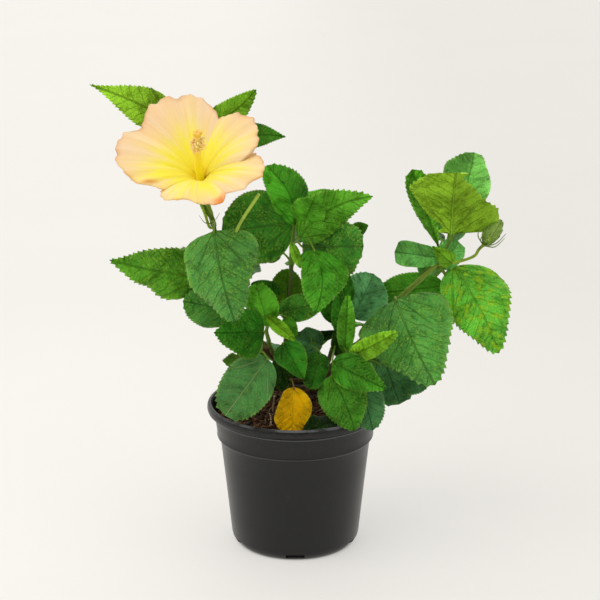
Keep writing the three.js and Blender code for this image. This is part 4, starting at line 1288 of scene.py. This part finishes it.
# %% The bloom's own directions
THROAT = np.array([-86.0, -8.0, 358.0])
AXIS = unit((-0.2, -0.515, 0.857))
TOP = unit(np.array([0, 0, 1.0]) - AXIS * AXIS[2])
RIGHT = -np.cross(AXIS, TOP)
BLOOM_RADIUS, BLOOM_DEPTH = 73, 46


def bloom_place(radius, height, degrees):
    """A place in mm: how far from the axis and along it, and the way, from the top round to the right."""
    turn = np.radians(degrees)[..., None]
    outwards = TOP * np.cos(turn) + RIGHT * np.sin(turn)
    return THROAT + AXIS * np.asarray(height)[..., None] + outwards * np.asarray(radius)[..., None]


# %% Petal rims
# the way it points, half its angle, how far in front it lies in mm, how far out from the throat
# the yellow reaches before it pales, and the rim's rows: across, reach, depth
PETALS = {
    "petal_bottom": (165, 42, -0.7, 0.72, [
        (-1, .55, .9), (-.8, .85, .82), (-.65, .97, .76), (-.52, .94, .78), (-.4, .84, .84),
        (-.2, .81, .92), (.05, .80, 1), (.35, .84, 1), (.6, .77, 1), (.8, .68, 1), (1, .60, 1)]),
    "petal_low_right": (105, 36, -0.4, 0.62, [
        (-1, .5, .92), (-.85, .76, .9), (-.4, .96, .87), (-.1, 1.08, .82), (.12, 1.13, .77),
        (.24, 1.0, .78), (.45, 1.0, .8), (.62, .90, .82), (.82, .72, .85), (1, .5, .9)]),
    "petal_left": (250, 46, 0, 0.60, [
        (-1, .58, 1), (-.72, .64, 1), (-.62, .76, 1), (-.5, .81, 1), (-.23, .87, 1), (-.07, .94, 1),
        (.1, .98, 1), (.4, 1, 1), (.57, .98, 1), (.84, .92, 1), (1, .86, 1)]),
    "petal_high_right": (50, 48, 0.4, 0.60, [
        (-1, .70, 1), (-.88, .73, 1), (-.55, .81, 1), (-.22, .90, 1), (-.08, .90, 1), (.13, .865, 1),
        (.35, .85, 1), (.57, .83, 1), (.7, .76, 1), (.85, .62, 1), (1, .45, 1)]),
    "petal_top": (335, 45, 0.7, 0.50, [
        (-1, .84, 1), (-.92, .90, 1), (-.8, .96, 1), (-.6, 1.02, 1), (-.3, 1.04, 1), (-.09, .98, 1),
        (.14, 1.0, 1), (.32, .95, 1), (.5, .86, 1), (.66, .75, 1), (.84, .66, 1), (1, .56, 1)]),
}

# %% [markdown]
# The petals go from gold in the throat through yellow and cream to peach, each at its own pace.
# Rust touches the rim, and a few stains are the petals' own: a fold, a dip, a bruise and a patch of
# sun. Where one petal crosses the next, a thin dark line along its edge is painted shadow. A stain's
# row says where it lies across and along the petal and how wide it is there.

# %% Petal colours
PEACH, CREAM, SUN, GOLD = (0.95, 0.65, 0.35), (0.97, 0.73, 0.25), (1.0, 0.88, 0.05), (1.0, 0.76, 0.0)
# the dark line where one petal crosses the next is painted shadow
RUST, OVERLAP_SHADOW, HEM = (0.70, 0.23, 0.035), (0.40, 0.16, 0.01), (0.45, 0.20, 0.03)
OVERLAP_SHADOW_STRENGTH = ((0, 0.12, 0.3, 0.7, 1), (1, 0.95, 0.75, 0.5, 0.8))


def mix(a, b, share):
    share = np.clip(share, 0, 1)[..., None]
    return np.asarray(a) * (1 - share) + np.asarray(b) * share


def bump_at(x, middle, wide):
    return np.exp(-((x - middle) / wide) ** 2)


def ramp(x, start, wide):
    return np.clip((x - start) / wide, 0, 1)


def petal_tint(name, s, t, reach, beat, glow):
    away = t * (0.92 + 0.08 * reach) + 0.03 * np.sin(13 * s + beat[1]) * t
    glow = glow + 0.06 * np.sin(5 * s + beat[3]) - (0.14 * s if name == "petal_left" else 0)
    tint = mix(GOLD, SUN, (away - 0.10) / 0.22)
    tint = mix(tint, CREAM, (away - glow) / 0.26)
    tint = mix(tint, PEACH, (away - glow - 0.20) / 0.24)
    if name == "petal_high_right":
        # painted shadow along the edge where this petal crosses the next
        tint = mix(tint, OVERLAP_SHADOW, bump_at(s, 1.0, 0.07) * np.interp(t, *OVERLAP_SHADOW_STRENGTH))
        tint = mix(tint, HEM, 0.8 * ramp(s, 0.5, 0.1) * ramp(t, 0.95, 0.03))
    brink = ramp(t, 0.965, 0.035) * (0.35 + 0.35 * np.sin(9 * s + beat[2]))
    tint = mix(tint, RUST, np.clip(brink, 0, 0.6))
    if name == "petal_bottom":
        tint = mix(tint, (0.85, 0.20, 0.02), 0.9 * bump_at(s, -0.66, 0.15) * ramp(t, 0.90, 0.05))
    if name == "petal_left":
        tint = mix(tint, (0.78, 0.24, 0.03), 0.8 * bump_at(s, -0.62, 0.07) * bump_at(t, 0.91, 0.05))
        tint = mix(tint, SUN, 0.7 * bump_at(s, 0.66, 0.10) * bump_at(t, 0.62, 0.06))
    if name == "petal_top":
        tint = mix(tint, (0.55, 0.30, 0.10), 0.6 * bump_at(s, -0.12, 0.13) * ramp(t, 0.95, 0.05))
    return tint


# %% One petal
PETAL_ROWS, PETAL_COLUMNS = 34, 61


def petal(pile, name):
    at, half, front, glow, rim_rows = PETALS[name]
    across, reaches, depths = np.array(rim_rows).T
    t = (np.linspace(0.0, 1, PETAL_ROWS) ** 0.9)[:, None]
    s = np.linspace(-1, 1, PETAL_COLUMNS)[None, :]
    reach = smooth_table(s, across, reaches)
    depth = smooth_table(s, across, depths)
    beat = rng.uniform(0, ROUND, 5)
    edge = t ** 3
    fine = 0.010 * np.sin(21 * s + beat[0]) + 0.008 * np.sin(37 * s + beat[1])
    reach = reach * (1 + fine * edge)
    radius = BLOOM_RADIUS * reach * (0.25 * t + 0.75 * t * t) + 1.6 * (1 - t)
    height = BLOOM_DEPTH * depth * reach * (1.35 * t - 0.35 * edge)
    ruffle = (2.0 * np.sin(4.3 * s + beat[2]) + 1.1 * np.sin(8.8 * s + beat[3])
              + 0.5 * np.sin(16 * s + beat[4]))
    crease = -1.1 * bump_at(s, 0, 0.10) * np.minimum(1, 3 * (1 - t)) * np.minimum(1, 4 * t)
    height = height + ruffle * edge * (1 - 0.8 * s ** 6) + crease + front * np.minimum(1, 3 * t)
    lift = 1.4 * (s > 0) if name == "petal_high_right" else -0.5
    height = height + lift * np.abs(s) ** 3 * np.sin(math.pi * t)
    angle = at + half * s * (0.80 + 0.20 * np.minimum(1, 2.5 * t))
    top = bloom_place(radius, height, angle)
    thick = 0.55 * (1 - 0.55 * t[..., None])
    flat = np.column_stack([part.ravel() for part in np.broadcast_arrays(s * 0.5 + 0.5, t)])
    tint = petal_tint(name, s, t, reach, beat, glow)
    pile.add_sheet(top, thick, tint, NO_TRAIT, flat, flat, mirrored=True)


# %% [markdown]
# Petal tissue is matt. Its fine veins run outwards and fork, and they show as faint darker lines
# with shallow furrows between them. Noise stretched along the petal's own UV map draws both.

# %% Petal finish
petal_paint, shader, _ = finish("petal")
blade = wire(put("UVMap", uv_map="blade"))
streak = clouds(blade, 26, detail=4, roughness=0.6, stretch=(1, 0.06, 1))
broad_streak = clouds(blade, 8, detail=2, stretch=(1, 0.12, 1))
outer = fade(split(blade)[1], 0.15, 0.75)
tone = blend(fade(streak, 0.50, 0.66) * 0.22, painted("tint"), (0.93, 0.47, 0.12, 1))
tone = blend(fade(broad_streak, 0.45, 0.65) * outer * 0.35, tone, (1.0, 0.80, 0.56, 1))
feed(shader, {"Base Color": tone, "Roughness": 0.6, "Specular IOR Level": 0.25, "Sheen Weight": 0.15})
relief(shader, streak + broad_streak * 1.2, 0.0010, 0.45)

# %% [markdown]
# The column stands out of the throat and leans a little. Anthers on short filaments surround its
# upper part, and five small pads end it. Behind the bloom a green calyx of five sepals holds the
# petals, with a ring of thin bracts under it.

# %% Petals and column
COLUMN_LONG, COLUMN_LEAN = 62, 12
ANTHERS, PADS = 46, 5
FILAMENT = [0.45, 0.38, 0.3]
FILAMENT_TINT, PAD_TINT = (1.0, 0.82, 0.30), (1.0, 0.60, 0.04)


def on_column(share):
    return bloom_place(COLUMN_LEAN * share ** 1.6, COLUMN_LONG * share, 90)


def round_column(turn, forward):
    """A direction away from the column, tilted forward."""
    return unit(TOP * math.cos(turn) + RIGHT * math.sin(turn) + AXIS * forward)


def ball(pile, centre, radius, tint, rings, sides):
    """A small closed ball of rings."""
    lat = np.linspace(0, math.pi, rings + 1)
    route = [centre + (0, 0, radius * -math.cos(a) * 0.999) for a in lat]
    tube(pile, route, np.maximum(radius * np.sin(lat), 0.04 * radius), sides, tint)


flower = Pile()
for name in PETALS:
    petal(flower, name)
shares = np.linspace(0, 1, 18)
column_tint = mix((1.0, 0.92, 0.0), (1.0, 0.72, 0.05), shares)
tube(flower, [on_column(k) for k in shares], np.interp(shares, [0, 0.1, 0.8, 1], [6.0, 4.4, 2.8, 2.2]),
     12, column_tint)
for k in range(ANTHERS):
    root = on_column(0.69 + 0.21 * k / ANTHERS)
    way = round_column(GOLDEN * k, 0.35)
    reach = rng.uniform(3.2, 6.2)
    tube(flower, [root, root + way * reach * 0.6, root + way * reach], FILAMENT, 5, FILAMENT_TINT)
    size = rng.uniform(1.1, 1.6)
    ball(flower, root + way * (reach + 0.6), size, (1.0, 0.66 + 0.2 * rng.uniform(), 0.26), 4, 7)
for k in range(PADS):
    root, way = on_column(1), round_column(math.tau * k / PADS, 1.1)
    tube(flower, [root - AXIS * 2, root + way * 3.2], [0.9, 0.8], 6, (1.0, 0.62, 0.04))
    ball(flower, root + way * 3.6, 2.3, PAD_TINT, 5, 9)
settle(flower.build("bloom_petals", [petal_paint, petal_paint]), "bloom_petals", "bloom", "bloom")

# %% Calyx and stalks behind the bloom
SEPAL, BUD_TINT = (0.20, 0.32, 0.04), (0.22, 0.34, 0.06)
SEPALS, BRACTS = 5, 7


def cup_of_sepals(pile, foot, way, long, wide, open_at, tint, bract_long=0.5):
    """Sepals round a flower or a bud: foot and the way it points, then sizes in mm."""
    first = unit(np.cross(way, (0.2, 1, 0.1)))
    second = np.cross(way, first)

    def around(turn):
        return first * math.cos(turn) + second * math.sin(turn)

    for k in range(SEPALS):
        aside = around(math.tau * k / SEPALS + 0.4)
        leaf(pile, foot + aside * 1.2, foot + way * long + aside * open_at, wide, (0.5, 0.8), tint,
             (0.2, 0, 0, 0.4), face=aside, arch=0.22 * long, fold=-16, wavy=0.15, teeth=3)
    for k in range(BRACTS):
        aside = around(math.tau * k / BRACTS)
        start = foot - way * 0.5 + aside * 1.2
        end = foot + way * long * bract_long * rng.uniform(0.8, 1.1) + aside * (0.45 * long)
        mid = 0.5 * (start + end) + aside * 0.10 * long - way * 0.12 * long
        grow(pile, [start, mid, end], 9, [(0, 0.75), (1, 0.25)], 5, np.array(tint) * 0.9)


green = Pile()
calyx_foot = bloom_place(0, -20, 0)
cup_of_sepals(green, calyx_foot, AXIS, 33, 15, 12, SEPAL)
NECK = [bloom_place(0, height, 0) for height in (-21, -17, -11, -5, 2)]
grow(green, NECK, 12, [(0, 2.6), (0.25, 4.2), (0.7, 5.4), (1, 5.6)], 14, SEPAL)
grow(green, [(-81, 4, 332), (-82.5, 6.0, 338), calyx_foot], 8, [(0, 2.4), (1, 2.4)], 9, BLOOM_STALK_LIT)

# the stalk of the leaf behind the bloom, with its two hair-like stipules
BEHIND = [(-75, -6, 316), (-80, -7, 316), (-84, -3, 327), (-89, 2, 338), (-91, 4, 346)]
grow(green, BEHIND, 16, [(0, 1.35), (1, 1.35)], 8, BLOOM_STALK_LIT)
for end in ((-89.5, -9, 328), (-70, -9, 330)):
    start = np.array([-80.5, -6, 319.0])
    bent = 0.5 * (start + end) + (0, 0, -2.5)
    grow(green, [start, bent, end], 9, [(0, 0.5), (1, 0.15)], 5, np.array(LIGHT_STEM) * 0.5)
# a stalk whose leaf has been cut off crosses the round leaf behind it
CUT_STALK = [(-58, -14, 236), (-60, -34, 280), (-53.6, -50, 322), (-32.2, -60, 360)]
grow(green, CUT_STALK, 30, [(0, 1.5), (1, 1.5)], 8, (0.30, 0.42, 0.06))

# %% The bud
BUD_STALK = [(135, -6.5, 279), (152, -10, 283), (167, -12, 289), (172, -12, 296), (177, -12, 301)]
BUD_TIP = np.array([190.0, -14.0, 322.0])
grow(green, BUD_STALK, 26, [(0, 1.3), (0.9, 1.5), (1, 2.4)], 9, LIGHT_STEM)
bud_foot = np.array(BUD_STALK[-1], float)
bud_way = unit(BUD_TIP - bud_foot)
bud_long = float(np.linalg.norm(BUD_TIP - bud_foot))
body = [bud_foot + bud_way * bud_long * k for k in np.linspace(0, 0.93, 16)]
swell = 6.4 * np.sin(math.pi * np.clip(0.06 + 0.92 * np.linspace(0, 1, 16) ** 0.75, 0, 1)) ** 1.1
tube(green, body, np.maximum(swell, 0.8), 16, BUD_TINT, lumps=0.03)
cup_of_sepals(green, bud_foot - bud_way * 0.5, bud_way, bud_long * 1.16, 12, 1.0, BUD_TINT, 0.6)
settle(green.build("calyx_and_bud", [leaf_top, leaf_under]), "calyx_and_bud", "green_stem", "bud")
